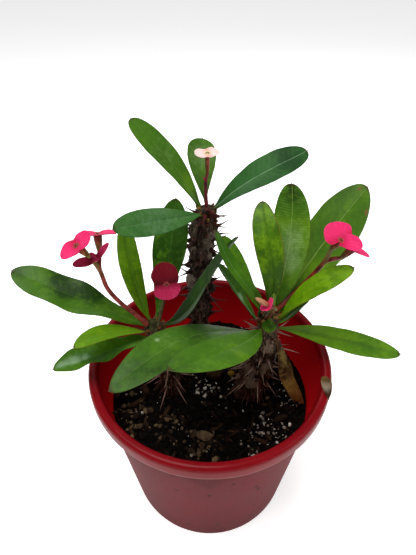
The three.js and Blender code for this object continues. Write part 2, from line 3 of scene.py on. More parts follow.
import bmesh
import bpy
import numpy as np
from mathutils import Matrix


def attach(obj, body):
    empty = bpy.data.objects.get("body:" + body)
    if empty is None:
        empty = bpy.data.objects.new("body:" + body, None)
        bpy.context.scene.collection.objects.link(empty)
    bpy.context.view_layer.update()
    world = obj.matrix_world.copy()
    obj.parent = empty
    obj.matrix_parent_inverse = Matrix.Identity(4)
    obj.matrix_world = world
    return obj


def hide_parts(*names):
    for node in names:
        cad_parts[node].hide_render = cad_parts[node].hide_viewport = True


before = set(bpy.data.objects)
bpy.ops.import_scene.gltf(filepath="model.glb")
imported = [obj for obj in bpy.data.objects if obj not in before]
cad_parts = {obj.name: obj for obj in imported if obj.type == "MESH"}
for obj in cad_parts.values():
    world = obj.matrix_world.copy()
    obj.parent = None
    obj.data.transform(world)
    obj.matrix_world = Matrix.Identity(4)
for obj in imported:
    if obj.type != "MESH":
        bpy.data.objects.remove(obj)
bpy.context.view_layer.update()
scene = bpy.context.scene
mm = 0.001  # metres in a millimetre


# Directions and curves

def unit(vectors):
    return vectors / np.linalg.norm(vectors, axis=-1, keepdims=True)


# Angles evenly spread round a circle, in radians
def around(count):
    return np.linspace(0, 2 * np.pi, count, endpoint=False)


# The direction at an azimuth and a rise above level, and the direction that looks straight up from it
def heading(turn, rise):
    a, r = np.radians(turn), np.radians(rise)
    along = np.array([np.cos(a) * np.cos(r), np.sin(a) * np.cos(r), np.sin(r)])
    face = np.array([-np.cos(a) * np.sin(r), -np.sin(a) * np.sin(r), np.cos(r)])
    return along, face


# Turns a vector about an axis by one angle or by many: v cos + (axis x v) sin + axis (axis . v)(1 - cos)
def spin(vector, axis, degrees):
    angle = np.radians(np.atleast_1d(degrees))[:, None]
    turned = vector * np.cos(angle) + np.cross(axis, vector) * np.sin(angle)
    turned = turned + axis * (axis @ vector) * (1 - np.cos(angle))
    return turned if np.ndim(degrees) else turned[0]


# A smooth line through a few points: each stretch blends the straight lines through its four nearest
# points, timed by the square root of their distances
def smoothLine(points, count):
    points = np.array(points, float)
    if len(points) == 2:
        return points[0] + (points[1] - points[0]) * np.linspace(0, 1, count)[:, None]
    p = np.vstack([2 * points[0] - points[1], points, 2 * points[-1] - points[-2]])
    knots = np.concatenate([[0], np.cumsum(np.sqrt(np.linalg.norm(np.diff(p, axis=0), axis=1)))])
    at = np.linspace(knots[1], knots[-2] - 1e-9, count)
    i = np.clip(np.searchsorted(knots, at, side="right") - 1, 1, len(p) - 3)

    def blend(a, b, low, high):
        share = ((at - low) / (high - low))[:, None]
        return a + (b - a) * share

    k = [knots[i + n] for n in (-1, 0, 1, 2)]
    q = [p[i + n] for n in (-1, 0, 1, 2)]
    first = blend(q[0], q[1], k[0], k[1])
    second = blend(q[1], q[2], k[1], k[2])
    third = blend(q[2], q[3], k[2], k[3])
    return blend(blend(first, second, k[0], k[2]), blend(second, third, k[1], k[3]), k[1], k[2])


# Soft random heights from -1 to 1: values at the corners of a lattice, blended by a smooth step between
# them. The large whole numbers stir a corner's place and the seed into its value
def bumps(points, size, seed=0):
    place = np.asarray(points, float) / size
    cell = np.floor(place).astype(np.int64)
    part = place - cell
    part = part * part * (3 - 2 * part)
    total = np.zeros(place.shape[:-1])
    for corner in itertools.product((0, 1), repeat=3):
        key = (cell + corner) * np.array([374761393, 668265263, 2147483647])
        key = key.sum(-1) + seed * 144665
        key = (key ^ (key >> 13)) * 1274126177
        value = ((key ^ (key >> 16)) & 65535) / 32767.5 - 1
        total += value * np.prod(np.where(corner, part, 1 - part), axis=-1)
    return total


# Repeatable draws between 0 and 1, the same as the part's own
def draws(seed):
    state = seed
    while True:
        state = (state * 1664525 + 1013904223) % 4294967296
        yield state / 4294967296


# Meshes

# The four-sided faces of a tube, row by row, with its first point numbered start
def tubeFaces(rows, columns, start=0):
    r, c = np.arange(rows - 1)[:, None] * columns + start, np.arange(columns)[None, :]
    n = (c + 1) % columns
    return np.stack([r + c, r + n, r + columns + n, r + columns + c], -1).reshape(-1, 4)


def addMarks(mesh, marks):
    for name, values in marks.items():
        mesh.attributes.new(name, "FLOAT", "POINT").data.foreach_set("value", values.astype(np.float32))


# Puts a finished mesh into the scene in place of solids
def addPiece(name, mesh, replaces):
    piece = bpy.data.objects.new(name, mesh)
    scene.collection.objects.link(piece)
    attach(piece, "root")
    if replaces:
        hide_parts(*replaces)


class Shape:
    # Gathers closed skins in millimetres, with named marks for the shaders, and makes one mesh of them
    def __init__(self):
        self.points, self.faces, self.marks, self.finishes, self.count = [], [], [], [], 0

    # points: rows x columns x 3. The columns run round into a tube, and both ends close on a point at their
    # middle, moved by the two tips. marks: a value, or rows x columns of values, for each name
    def tube(self, points, finish=0, tips=((0, 0, 0), (0, 0, 0)), **marks):
        rows, columns = points.shape[:2]
        ring = np.arange(columns)
        after = (ring + 1) % columns
        first, last = rows * columns, (rows - 1) * columns
        ends = np.vstack([
            np.stack([np.full(columns, first), after, ring], -1),
            np.stack([np.full(columns, first + 1), last + ring, last + after], -1),
        ])
        poles = np.array([points[0].mean(0) + tips[0], points[-1].mean(0) + tips[1]])
        flat = np.vstack([points.reshape(-1, 3), poles])
        spread = {}
        for name, value in marks.items():
            value = np.broadcast_to(value, (rows, columns))
            spread[name] = np.concatenate([value.ravel(), [value[0].mean(), value[-1].mean()]])
        self.add(flat, [tubeFaces(rows, columns), ends], finish, spread)

    # Adds a closed skin, turned so that its volume is positive and its faces point out
    def add(self, points, faceGroups, finish, marks):
        volume = 0
        for group in faceGroups:
            for k in range(1, group.shape[1] - 1):
                a, b, c = (points[group[:, j]] for j in (0, k, k + 1))
                volume += np.einsum("ij,ij->i", a, np.cross(b, c)).sum()
        for group in faceGroups:
            turned = group if volume > 0 else group[:, ::-1]
            self.faces += (turned + self.count).tolist()
            self.finishes += [finish] * len(group)
        self.points.append(points)
        self.marks.append((len(points), marks))
        self.count += len(points)

    def build(self, name, finishes, replaces=()):
        mesh = bpy.data.meshes.new(name)
        mesh.from_pydata((np.concatenate(self.points) * mm).tolist(), [], self.faces)
        mesh.polygons.foreach_set("use_smooth", np.ones(len(self.faces), bool))
        mesh.polygons.foreach_set("material_index", self.finishes)
        names = sorted({name for _, marks in self.marks for name in marks})
        addMarks(mesh, {name: np.concatenate([
            np.broadcast_to(marks.get(name, 0), count) for count, marks in self.marks]) for name in names})
        for finish in finishes:
            mesh.materials.append(finish)
        mesh.update()
        addPiece(name, mesh, replaces)


# A round tube along a line: each ring stands across the line, and its radius may change along and around it
def pipe(line, radius, columns=20, guide=(0.31, -0.93, 0.2)):
    tangent = unit(np.gradient(line, axis=0))
    side = unit(np.cross(tangent, np.array(guide)))
    other = np.cross(tangent, side)
    angle = around(columns)
    radius = np.broadcast_to(radius, (len(line), columns))[..., None]
    ring = side[:, None] * np.cos(angle)[None, :, None] + other[:, None] * np.sin(angle)[None, :, None]
    return line[:, None] + ring * radius


# An ellipsoid: middle + x cos(b) cos(a) + y cos(b) sin(a) + z sin(b), with x, y and z its half axes
def ball(middle, x, y, z, rows=9, columns=14):
    b = np.linspace(-np.pi / 2, np.pi / 2, rows + 2)[1:-1, None, None]
    a = around(columns)[None, :, None]
    return middle + x * np.cos(b) * np.cos(a) + y * np.cos(b) * np.sin(a) + z * np.sin(b)


# Shader maths

# A six-figure colour as it looks on a screen, for a shader
def colour(figures):
    levels = [int(figures[k:k + 2], 16) / 255 for k in (0, 2, 4)]
    return (*((v / 12.92) if v <= 0.04045 else ((v + 0.055) / 1.055) ** 2.4 for v in levels), 1)


class Wire:
    # A shader value that can be added, taken away, multiplied, divided and raised
    def __init__(self, finish, socket):
        self.finish, self.socket = finish, socket

    def maths(self, operation, other=0.0, reflected=False):
        pair = {0: other, 1: self} if reflected else {0: self, 1: other}
        return self.finish.node("ShaderNodeMath", {"operation": operation}, pair)

    def __add__(self, other):
        return self.maths("ADD", other)

    def __sub__(self, other):
        return self.maths("SUBTRACT", other)

    def __rsub__(self, other):
        return self.maths("SUBTRACT", other, True)

    def __mul__(self, other):
        return self.maths("MULTIPLY", other)

    def __truediv__(self, other):
        return self.maths("DIVIDE", other)

    def __rtruediv__(self, other):
        return self.maths("DIVIDE", other, True)

    def __pow__(self, other):
        return self.maths("POWER", other)

    __radd__, __rmul__ = __add__, __mul__

    def size(self):
        return self.maths("ABSOLUTE")

    # Soft stripes from 0 to 1, one in each gap
    def stripes(self, gap):
        return (self * (2 * np.pi / gap)).maths("SINE") * 0.5 + 0.5

    # 0 up to low, 1 from high, and a soft step between; low may be the larger one
    def step(self, low, high):
        return self.finish.node(
            "ShaderNodeMapRange", {"interpolation_type": "SMOOTHSTEP"},
            {"Value": self, "From Min": low, "From Max": high})


class Finish:
    # A material made from wires
    def __init__(self, name):
        self.material = bpy.data.materials.new(name)
        self.material.use_nodes = True
        self.tree = self.material.node_tree
        self.shader = next(n for n in self.tree.nodes if n.type == "BSDF_PRINCIPLED")
        self.place = self.node("ShaderNodeTexCoord", output="Object")

    def node(self, kind, settings=None, sockets=None, output=0):
        made = self.tree.nodes.new(kind)
        for key, value in (settings or {}).items():
            if key == "stops":
                stops = made.color_ramp.elements
                while len(stops) < len(value):
                    stops.new(1)
                for stop, (where, shade) in zip(stops, value):
                    stop.position, stop.color = where, shade
            else:
                setattr(made, key, value)
        for key, value in (sockets or {}).items():
            if isinstance(value, Wire):
                self.tree.links.new(value.socket, made.inputs[key])
            else:
                made.inputs[key].default_value = value
        return Wire(self, made.outputs[output])

    # The values that a piece carries under these names
    def marks(self, *names):
        return [self.node("ShaderNodeAttribute", {"attribute_name": name}, output="Fac") for name in names]

    # The place on the piece, its axes scaled by the stretch: below 1, a pattern runs long that way
    def stretched(self, stretch):
        return self.node("ShaderNodeMapping", {}, {"Vector": self.place, "Scale": stretch})

    # Noise from 0 to 1 whose spots are about size mm across
    def noise(self, size, detail=2.0, rough=0.5, stretch=(1, 1, 1), swirl=0.0):
        return self.node("ShaderNodeTexNoise", {}, {
            "Vector": self.stretched(stretch), "Scale": 1 / (size * mm), "Detail": detail,
            "Roughness": rough, "Distortion": swirl})

    # Distance to the nearest of many scattered points, from 0, with cells about size mm across
    def cells(self, size, stretch=(1, 1, 1), feature="F1"):
        return self.node("ShaderNodeTexVoronoi", {"feature": feature},
                         {"Vector": self.stretched(stretch), "Scale": 1 / (size * mm)})

    # A mix of two colours, each given by its six figures or as a wire
    def mix(self, share, first, second):
        first, second = (colour(shade) if isinstance(shade, str) else shade for shade in (first, second))
        return self.node("ShaderNodeMix", {"data_type": "RGBA", "clamp_factor": True},
                         {0: share, 6: first, 7: second}, 2)

    # Coats of colour over a base, each laid on as far as its share goes
    def coats(self, base, *layers):
        for share, shade in layers:
            base = self.mix(share, base, shade)
        return base

    def link(self, wire, socket):
        self.tree.links.new(wire.socket, self.shader.inputs[socket])

    # Puts the changing values on the shader, the height through a bump of a depth in mm, and the fixed ones
    # as they are
    def paint(self, base, roughness, height=None, depth=0.1, **fixed):
        self.link(base, "Base Color")
        self.link(roughness, "Roughness")
        if height is not None:
            self.link(self.node("ShaderNodeBump", {}, {"Height": height, "Distance": depth * mm}), "Normal")
        for name, value in fixed.items():
            self.shader.inputs[name.replace("_", " ")].default_value = value
        return self.material


# Leaves

# Colours of each tone of leaf, shine being that of the painted whitish highlight; rough and
# gloss: how dull and how glossy it is
leafTones = {
    "mid": {"main": "3d6612", "deep": "1b3808", "light": "648f14", "rib": "8aa650", "under": "45632f",
            "edge": "4e3a16", "shine": "9cb488", "rough": 0.4, "gloss": 0.12},
    "young": {"main": "568206", "deep": "315404", "light": "7ea60e", "rib": "90ac30", "under": "587a24",
              "edge": "6e3418", "shine": "a4b878", "rough": 0.42, "gloss": 0.12},
    "deep": {"main": "2f5512", "deep": "162f06", "light": "507c14", "rib": "7f9f66", "under": "34502a",
             "edge": "3c3414", "shine": "94b090", "rough": 0.4, "gloss": 0.04},
    # A leaf green whose blue cast is a painted reflection of the sky on leaves that face up
    "blue": {"main": "2d5a26", "deep": "1a3c1a", "light": "436f32", "rib": "8fae8c", "under": "3c5c3e",
             "edge": "2f3c20", "shine": "94ac94", "rough": 0.4, "gloss": 0.06},
    "dry": {"main": "6e5426", "deep": "2c180a", "light": "917838", "rib": "3e240e", "under": "7c6030",
            "edge": "5a2414", "shine": "9a8c7a", "rough": 0.6, "gloss": 0.1},
}
leafGrain = {"veinGap": 3.4, "wrinkleGap": 1.35, "scuffGap": 6, "depth": 0.13, "scuff": "b9c79a",
             "tip": "3a2412", "stalk": "6b4224", "spot": "7a5232"}


# Leaf finish: soft clouds of a deeper and a lighter green that also carry each leaf's lighter and darker
# parts, some of them painted shade and painted light, yellow mottling, a midrib that is darker than the
# blade on some leaves and paler on others, the paler partly a painted highlight, faint slanting side veins
# or fine cross wrinkles, a thin rusty edge, brown spots, a painted whitish highlight with a few real pale
# flecks, and a paler underside
def leafFinish(name, tone):
    f = Finish(name)
    across, along, rim, share, upper = f.marks("across", "along", "rim", "share", "upper")
    bright, mottle, midrib, wrinkle = f.marks("bright", "mottle", "midrib", "wrinkle")
    rust, speck, spot, shine = f.marks("rust", "specks", "spot", "shine")
    off = across.size()
    broad, fine, grain = f.noise(12, 3, 0.55), f.noise(2.8, 4, 0.62), f.noise(0.55, 2)
    ribWidth = 0.5 - 0.3 * share
    rib = 1 - (off / ribWidth).step(0.4, 1.4)
    ribZone = 1 - (off / ribWidth).step(0.6, 6.5)
    path = along - 0.6 * off + (fine - 0.5) * 4 + (broad - 0.5) * 9
    vein = path.stripes(leafGrain["veinGap"]) ** 4.0 * rim.step(0.5, 2.5) * off.step(0.4, 2.2)
    ridgePath = along - 0.12 * off + (fine - 0.5) * 1.3
    ridge = ridgePath.stripes(leafGrain["wrinkleGap"]) ** 2.0
    ridge = ridge * wrinkle * fine.step(0.35, 0.6) * off.step(0.3, 1.6)
    shade = (broad - 0.5) * 0.9 + (fine - 0.5) * 0.6 + (grain - 0.5) * 0.25 + bright
    patches = (broad * 0.5 + fine * 0.5).step(0.46, 0.64) * mottle
    scuffs = f.cells(leafGrain["scuffGap"]).step(0.075, 0.04) * fine.step(0.5, 0.6) * speck
    # bloom: a painted whitish highlight laid on where the shine mark is, with a few real pale flecks
    bloom = (shine + (fine - 0.5) * 0.6).step(0.15, 1.0)
    base = f.coats(
        tone["main"],
        (shade.step(0.0, -0.9), tone["deep"]),
        (shade.step(0.0, 1.0), tone["light"]),
        (patches * 0.6, tone["light"]),
        (vein * 0.03 + ridge * 0.16, tone["rib"]),
        (midrib.step(0.0, -1.0) * ribZone * 0.55, tone["deep"]),
        # The pale midrib is partly its own colour and partly a painted highlight along it
        (rib * (midrib.step(0.0, 1.0) * 0.6 + 0.06) * fine.step(0.25, 0.5), tone["rib"]),
        (scuffs * 0.7, leafGrain["scuff"]),
        (bloom * 0.6, tone["shine"]),
        (rim.step(0.4, 0.05) * (0.3 + 0.6 * rust), tone["edge"]),
        (share.step(0.972, 1.0) * 0.85, leafGrain["tip"]),
        (share.step(0.055, 0.0) * 0.6, leafGrain["stalk"]),
        (spot.step(0.3, 0.75) * fine.step(0.3, 0.5) * 0.9, leafGrain["spot"]))
    under = f.coats(
        tone["under"],
        (vein * 0.06 + rib * 0.45, tone["rib"]),
        (share.step(0.055, 0.0) * 0.6, leafGrain["stalk"]))
    base = f.mix(upper.step(0.55, 0.45), base, under)
    height = vein * -0.1 + ridge * 0.6 + rib * -0.7 + fine * 0.5 + grain * 0.1 + spot * -0.6
    rough = fine * 0.14 + (tone["rough"] - 0.07) + ridge * -0.06 + patches * 0.04
    return f.paint(base, rough, height, leafGrain["depth"], Specular_IOR_Level=tone["gloss"])


# foot, bend and crown: the points of a stem's line. belly: what its middle is stouter by. dome: depth of
# its rounded top. pairs, thorns, crowding and seed: number of pairs, shortest and longest thorn, 1 for
# thorns spread evenly and more for thorns that crowd to the top, and the seed of their draws. knob: height
# and reach of the swelling at a thorn's root. necks: drop, depth and reach of each narrow ring. swells and
# patches: drop, turn, reach and amount of soft lumps and of worn places. bristles, hanging and stubs:
# numbers of short spines, limp old ones and old stalks
stems = {
    "middle": {
        "foot": (-5.8, 41.4), "bend": (-8.5, 41, 132.4), "crown": (-1.5, 38, 191), "footRadius": 6.2,
        "topRadius": 6.4, "belly": 1.6, "dome": 14, "pairs": 42, "thorns": (11, 15), "crowding": 1.8,
        "seed": 30,
        "necks": [(20.5, 2.0, 2.8), (30, 0.7, 5), (40, 1.0, 6), (52, 0.9, 5), (66, 1.6, 6), (82, 1.4, 9),
                  (98, 2, 9)],
        "swells": [(13, 196, 5, 2.6), (12, -60, 6, 0.9), (32, -95, 8, 0.8), (47, 212, 4.5, 2.2),
                   (57, -8, 3, 2.2), (72, -10, 3, 2), (60, 200, 4, 1.2)],
        "patches": [(16, -58, 5, 1), (26, -40, 4.5, 1), (25, 205, 3, 0.8), (47, 222, 5.5, 1.2),
                    (38, 190, 3, 0.7), (70, -70, 4, 0.7), (84, -100, 5, 0.7), (11, 225, 4, 0.55)],
        "knob": (1.1, 2.4), "bristles": 120, "hanging": 0, "stubs": 11},
    "left": {
        "foot": (-24.1, 0.1), "bend": (-24.1, 0.1, 110.8), "crown": (-31, -2, 143), "footRadius": 5.8,
        "topRadius": 5, "belly": 0, "dome": 5, "pairs": 28, "thorns": (9, 18), "crowding": 1.2, "seed": 31,
        "necks": [(30, 0.4, 3)], "swells": [(16, -90, 4, 0.8), (8, 190, 3, 0.8)],
        "patches": [(12, -80, 4, 0.7)], "knob": (0.8, 1.7), "bristles": 90, "hanging": 34, "stubs": 12},
    "right": {
        "foot": (24.5, -1.5), "bend": (33, -1.5, 115), "crown": (31.5, -1, 150), "footRadius": 9.2,
        "topRadius": 4.8, "belly": 0, "dome": 5, "pairs": 34, "thorns": (9, 18), "crowding": 1.2, "seed": 27,
        "necks": [(26, 0.3, 3)], "swells": [(24, -100, 3.5, 0.9), (36, -60, 4, 0.9), (52, -120, 5, 1.2)],
        "patches": [(22, -80, 5, 0.9), (36, -70, 5, 0.8), (50, -120, 6, 0.8), (40, 200, 6, 0.7)],
        "knob": (0.9, 1.8), "bristles": 110, "hanging": 46, "stubs": 10},
}
# What the stems share: the solid's own values first, then those of the bark. reliefs: size, stretch and
# height of its bumps
stemUsual = {
    "rooted": 3, "domeShare": 0.5, "bulge": 0.12, "bulgeStart": (13, 19), "bulgeTurn": 2.1, "ringGap": 6.5,
    "scarTurn": 137.5, "pairSpread": 22, "turnPlay": 14, "thornRoot": 2.4, "thornTop": 0.99,
    "thornZone": 0.93, "crownZone": 14, "rise": {"foot": -50, "gain": 50, "spread": 35}, "bend": 0.3,
    "tipMiss": 0.5, "thornWidth": 0.6, "columns": 90, "rowsPerMm": 2.6, "fineTop": 5, "padSize": (1.9, 1.5),
    "padHeight": 1.1, "sunk": 0.35, "reliefs": ((3.2, 0.45, 0.55), (1.5, 0.4, 0.32), (0.9, 0.3, 0.25)),
}
bristle = {"scatter": (1.4, 22), "length": (1.8, 4.6), "rise": (-45, 35), "width": 0.3}
oldSpine = {"zone": (0.72, 0.97), "length": (5, 11), "rise": (-72, -38), "width": 0.26}
oldStalk = {"first": 1.2, "gap": 0.75, "turn": 40, "length": (2.6, 4.6), "rise": (25, 62), "radius": 0.95}
soil = {"level": 81.5, "relief": 1.3, "buried": 26, "edge": 60.55, "floor": 2.35, "sideGap": 0.5,
        "sunk": 0.3}


# The stem's line goes from the foot, under the soil, by the bend to the crown: with a, b and c for these
# three and u from 0 to 1, it is (1-u)^2 a + 2u(1-u) b + u^2 c
def stemLine(stem, share):
    start = np.array([*stem["foot"], soil["level"] + stemUsual["rooted"]])
    bend, end = np.array(stem["bend"], float), np.array(stem["crown"], float)
    u = np.asarray(share, float)[..., None]
    return (1 - u) ** 2 * start + 2 * u * (1 - u) * bend + u ** 2 * end


def stemHeight(stem):
    return np.linalg.norm(np.diff(stemLine(stem, np.linspace(0, 1, 201)), axis=0), axis=1).sum()


# The radius goes evenly down the stem, with a belly on the way, and rounds in over the dome under the crown
def stemRadius(stem, drop, height):
    share = drop / height
    belly = stem["belly"] * 4 * share * (1 - share)
    even = stem["topRadius"] + (stem["footRadius"] - stem["topRadius"]) * share + belly
    top = stemUsual["domeShare"]
    return even * (top + (1 - top) * np.minimum(1, drop / stem["dome"]))


# drop: mm below the crown. turn and rise: the leaf's direction. arch and sweep: bow of the midrib out of
# and in the blade's plane. roll and twist: turn of the face about the midrib. fold: lift of the halves.
# wave and waves: height and number of the edge's ripples. broadest: where, as a share of the length. point:
# 1 for a long taper, less for a round tip. bright: deeper or lighter than its tone. mottle: amount of
# yellow patches. midrib: 1 for a pale midrib, partly its own colour and partly a painted
# highlight along it, -1 for a dark one. wrinkle, rust, specks: amounts. tip: length of the brown point.
# paintedShadeAndTone: place along, place across, size in mm and amount of softly lighter or darker parts,
# partly painted shade and painted light and partly the leaf's own tone; paintedShineAndFlecks: the same for
# a painted whitish highlight, with a few real pale flecks, and spots for brown marks
leafUsual = {"fold": 5, "arch": 0, "sweep": 0, "roll": 0, "twist": 0, "wave": 0, "waves": 2,
             "broadest": 0.64, "point": 0.5, "tone": "mid", "bright": 0, "mottle": 0.3, "midrib": 0.1,
             "wrinkle": 0, "rust": 0.15, "specks": 0.1, "tip": 0.8, "paintedShadeAndTone": [], "paintedShineAndFlecks": [], "spots": []}
leaves = {
    "middle_up_left": {"drop": 1, "turn": 161, "rise": 49.8, "length": 57.2, "width": 16.5, "fold": 8,
        "twist": -19, "arch": 5.4, "sweep": -2.2, "broadest": 0.62, "point": 0.46, "bright": -0.2,
        "mottle": 0.1, "midrib": 0.2, "paintedShadeAndTone": [(0.2, 0, 12, 0.5)], "paintedShineAndFlecks": [(0.6, 0, 16, 0.25)]},
    "middle_up_back": {"drop": 1, "turn": 94.9, "rise": 45.6, "length": 38.3, "width": 18.5, "fold": 6,
        "roll": 24, "twist": 4, "arch": 4.2, "sweep": -4.2, "broadest": 0.72, "bright": -0.1, "mottle": 0.2,
        "paintedShineAndFlecks": [(0.7, 0, 12, 0.45)]},
    "middle_up_right": {"drop": 2, "turn": 13, "rise": 29.6, "length": 57.7, "width": 20.5, "fold": 10,
        "twist": 24, "arch": 5.5, "sweep": 2.1, "broadest": 0.6, "point": 0.46, "tone": "blue",
        # Its pale midrib is a painted highlight along it
        "midrib": 0.6, "mottle": 0.1, "bright": -0.4, "paintedShadeAndTone": [(0.2, 0, 10, 0.6)]},
    "middle_front": {"drop": 3, "turn": -131.9, "rise": 16.7, "length": 58.9, "width": 14, "fold": 6,
        "roll": -38, "twist": -10, "arch": 1.3, "broadest": 0.65, "tone": "blue", "mottle": 0.05,
        "bright": 0.6, "paintedShineAndFlecks": [(0.55, 0, 26, 0.35)]},
    "left_long": {"drop": 4, "turn": 171, "rise": 23, "length": 76.1, "width": 20, "fold": 8, "twist": -18,
        "arch": 2.7, "sweep": -1.6, "broadest": 0.64, "point": 0.54, "wave": 1.5, "waves": 2.5,
        "bright": -0.05, "mottle": 0.4, "specks": 1,
        # Its darker bands are painted shadow of its waves, and its lighter parts painted sunlight
        "paintedShadeAndTone": [(0.62, 0.6, 9, -1.3), (0.4, 0.75, 9, -0.9), (0.52, -0.5, 9, 0.35), (0.92, 0, 10, -0.3),
                   (0.24, 0, 12, 0.6)]},
    "left_young": {"drop": 6, "turn": -152, "rise": 13, "length": 39.1, "width": 11, "fold": 8, "roll": -7,
        "arch": 2, "sweep": 3.9, "broadest": 0.65, "point": 0.55, "tone": "young", "mottle": 0.7,
        "rust": 0.3},
    "left_folded": {"drop": 10, "turn": -159, "rise": -5, "length": 52.1, "width": 16, "fold": 24,
        "roll": -6, "broadest": 0.59, "point": 0.52, "wave": 1.8, "waves": 2.8, "tone": "deep",
        "bright": 0.35, "mottle": 0.3,
        "paintedShineAndFlecks": [(0.92, 0.15, 4, 0.8), (0.78, 0.1, 4, 0.8), (0.66, 0.05, 3, 0.5)],
        "paintedShadeAndTone": [(0.4, -0.5, 7, -0.5), (0.45, 0.5, 8, 0.4)]},
    "left_upright": {"drop": 1, "turn": 132, "rise": 76.9, "length": 57, "width": 11.5, "fold": 6,
        "roll": -6, "sweep": -2.4, "broadest": 0.63, "tone": "young", "bright": -0.1, "midrib": -0.6,
        "mottle": 0.6},
    "left_back": {"drop": 1, "turn": 72, "rise": 56, "length": 66, "width": 22.5, "fold": 6, "roll": -3,
        "twist": -18, "arch": -2.3, "broadest": 0.68, "point": 0.6, "tone": "deep", "bright": -0.1,
        # Its darker lower part is painted shade
        "mottle": 1, "paintedShadeAndTone": [(0.35, -0.3, 14, -0.7)]},
    "left_cross": {"drop": 4, "turn": 17, "rise": 50.9, "length": 64.1, "width": 19, "fold": 14, "roll": 2,
        "twist": -35, "arch": 0.9, "sweep": 12, "broadest": 0.65, "point": 0.52, "tone": "deep",
        "bright": -0.7, "mottle": 0.1},
    "right_far_left": {"drop": 12.6, "turn": -146.7, "rise": 8.4, "length": 85.8, "width": 23, "fold": 4,
        "roll": 30, "twist": -45, "arch": 8.9, "sweep": 5.3, "broadest": 0.58, "point": 0.62,
        "bright": -0.4, "mottle": 0.2, "midrib": 0.25, "specks": 0.4,
        "paintedShineAndFlecks": [(0.66, 0.6, 1, 1), (0.6, 0.35, 8, 0.3)]},
    "right_near_left": {"drop": 9.5, "turn": -135.5, "rise": 18.9, "length": 66.7, "width": 21.5, "fold": 3,
        "twist": 6, "arch": 2.2, "sweep": -5.4, "broadest": 0.6, "point": 0.58, "bright": -0.05,
        "mottle": 0.4},
    "right_right": {"drop": 11, "turn": -10.6, "rise": -6.6, "length": 65.7, "width": 16.5, "fold": 8,
        "roll": 21, "twist": -22, "arch": -5, "sweep": -4.6, "broadest": 0.67, "point": 0.53, "bright": 0.4,
        "midrib": -0.5, "mottle": 0.5, "tip": 1.4, "rust": 0.2},
    "right_light_upright": {"drop": 1, "turn": 102, "rise": 67.5, "length": 57.2, "width": 14, "fold": 4,
        "twist": -30, "arch": 10, "sweep": 2.4, "broadest": 0.66, "point": 0.51, "tone": "young",
        "bright": -0.75, "midrib": -0.7, "mottle": 0.6, "rust": 0.8},
    "right_ribbed_upright": {"drop": 4.5, "turn": 73.4, "rise": 65.4, "length": 68.6, "width": 20,
        "fold": 6, "roll": 5, "twist": 3, "sweep": 4, "broadest": 0.6, "point": 0.46, "bright": 0.3,
        "wrinkle": 1, "midrib": 0.6, "mottle": 0.4, "paintedShadeAndTone": [(0.97, 0, 9, -1.0)],
        "paintedShineAndFlecks": [(0.62, 0.1, 9, 0.5), (0.4, 0.2, 9, 0.55)]},
    "right_broad_back": {"drop": 8, "turn": 40.9, "rise": 41, "length": 87.2, "width": 32.5, "fold": 6,
        "roll": 38, "twist": 35, "sweep": -2.6, "broadest": 0.69, "point": 0.57,
        "paintedShadeAndTone": [(0.3, 0, 16, 0.6)], "bright": 0.15, "midrib": 0.8, "mottle": 0.3, "specks": 0.5,
        "spots": [(0.88, 0.8, 1.9, 1), (0.95, -0.5, 2, 1)]},
    "right_light_right": {"drop": 6, "turn": 0, "rise": 47.4, "length": 47.8, "width": 15, "fold": 8,
        "roll": -9, "twist": 17, "arch": 6.6, "sweep": 2.7, "broadest": 0.64, "tone": "young",
        "bright": -0.1, "mottle": 0.8, "rust": 1, "tip": 1.2},
    "right_small_right": {"drop": 8, "turn": 3, "rise": 48, "length": 21, "width": 12, "fold": 8,
        "roll": -16, "twist": -8, "broadest": 0.52, "tone": "deep", "bright": 1.1, "mottle": 0.3},
    "right_narrow": {"drop": 5, "turn": 165.6, "rise": 64.9, "length": 56.2, "width": 7.5, "fold": 25,
        "twist": -44, "arch": 12, "sweep": -8.1, "broadest": 0.61, "tone": "deep", "midrib": 0.3,
        "mottle": 0.1, "bright": 0.2},
    "right_pale_back": {"drop": 4, "turn": 134.3, "rise": 48.9, "length": 46.3, "width": 12, "fold": 8,
        "twist": -2, "arch": -0.5, "broadest": 0.66, "point": 0.52, "tone": "deep", "bright": 0.4,
        "mottle": 0.9},
    "right_glossy": {"drop": 8, "turn": 169.6, "rise": 58.1, "length": 41.8, "width": 10.5, "fold": 20,
        # Its pale midrib and its whitish patch are painted highlights
        "broadest": 0.62, "tone": "deep", "bright": 0.2, "midrib": 0.8, "paintedShineAndFlecks": [(0.45, -0.2, 3, 1.3)]},
    "right_small_front": {"drop": 2.5, "turn": -98, "rise": 12, "length": 12, "width": 8.5, "fold": 25,
        "bright": -0.6, "mottle": 0.3, "rust": 0.6},
    "right_sprout": {"drop": 0.5, "turn": 272, "rise": 86, "length": 17, "width": 3.6, "fold": 30,
        "tone": "young", "bright": -0.6, "rust": 1},
    "right_dried": {"drop": 17, "turn": -30, "rise": -64.5, "length": 49.5, "width": 12, "fold": -22,
        "twist": 20, "arch": 2, "sweep": 4, "broadest": 0.48, "point": 0.75, "wave": 0.8, "tone": "dry",
        # Its darker upper part is painted shade, where it lies behind the spines
        "mottle": 0.8, "tip": 1.5, "paintedShadeAndTone": [(0.2, 0, 14, -0.9), (0.95, 0, 6, -0.5)]},
}


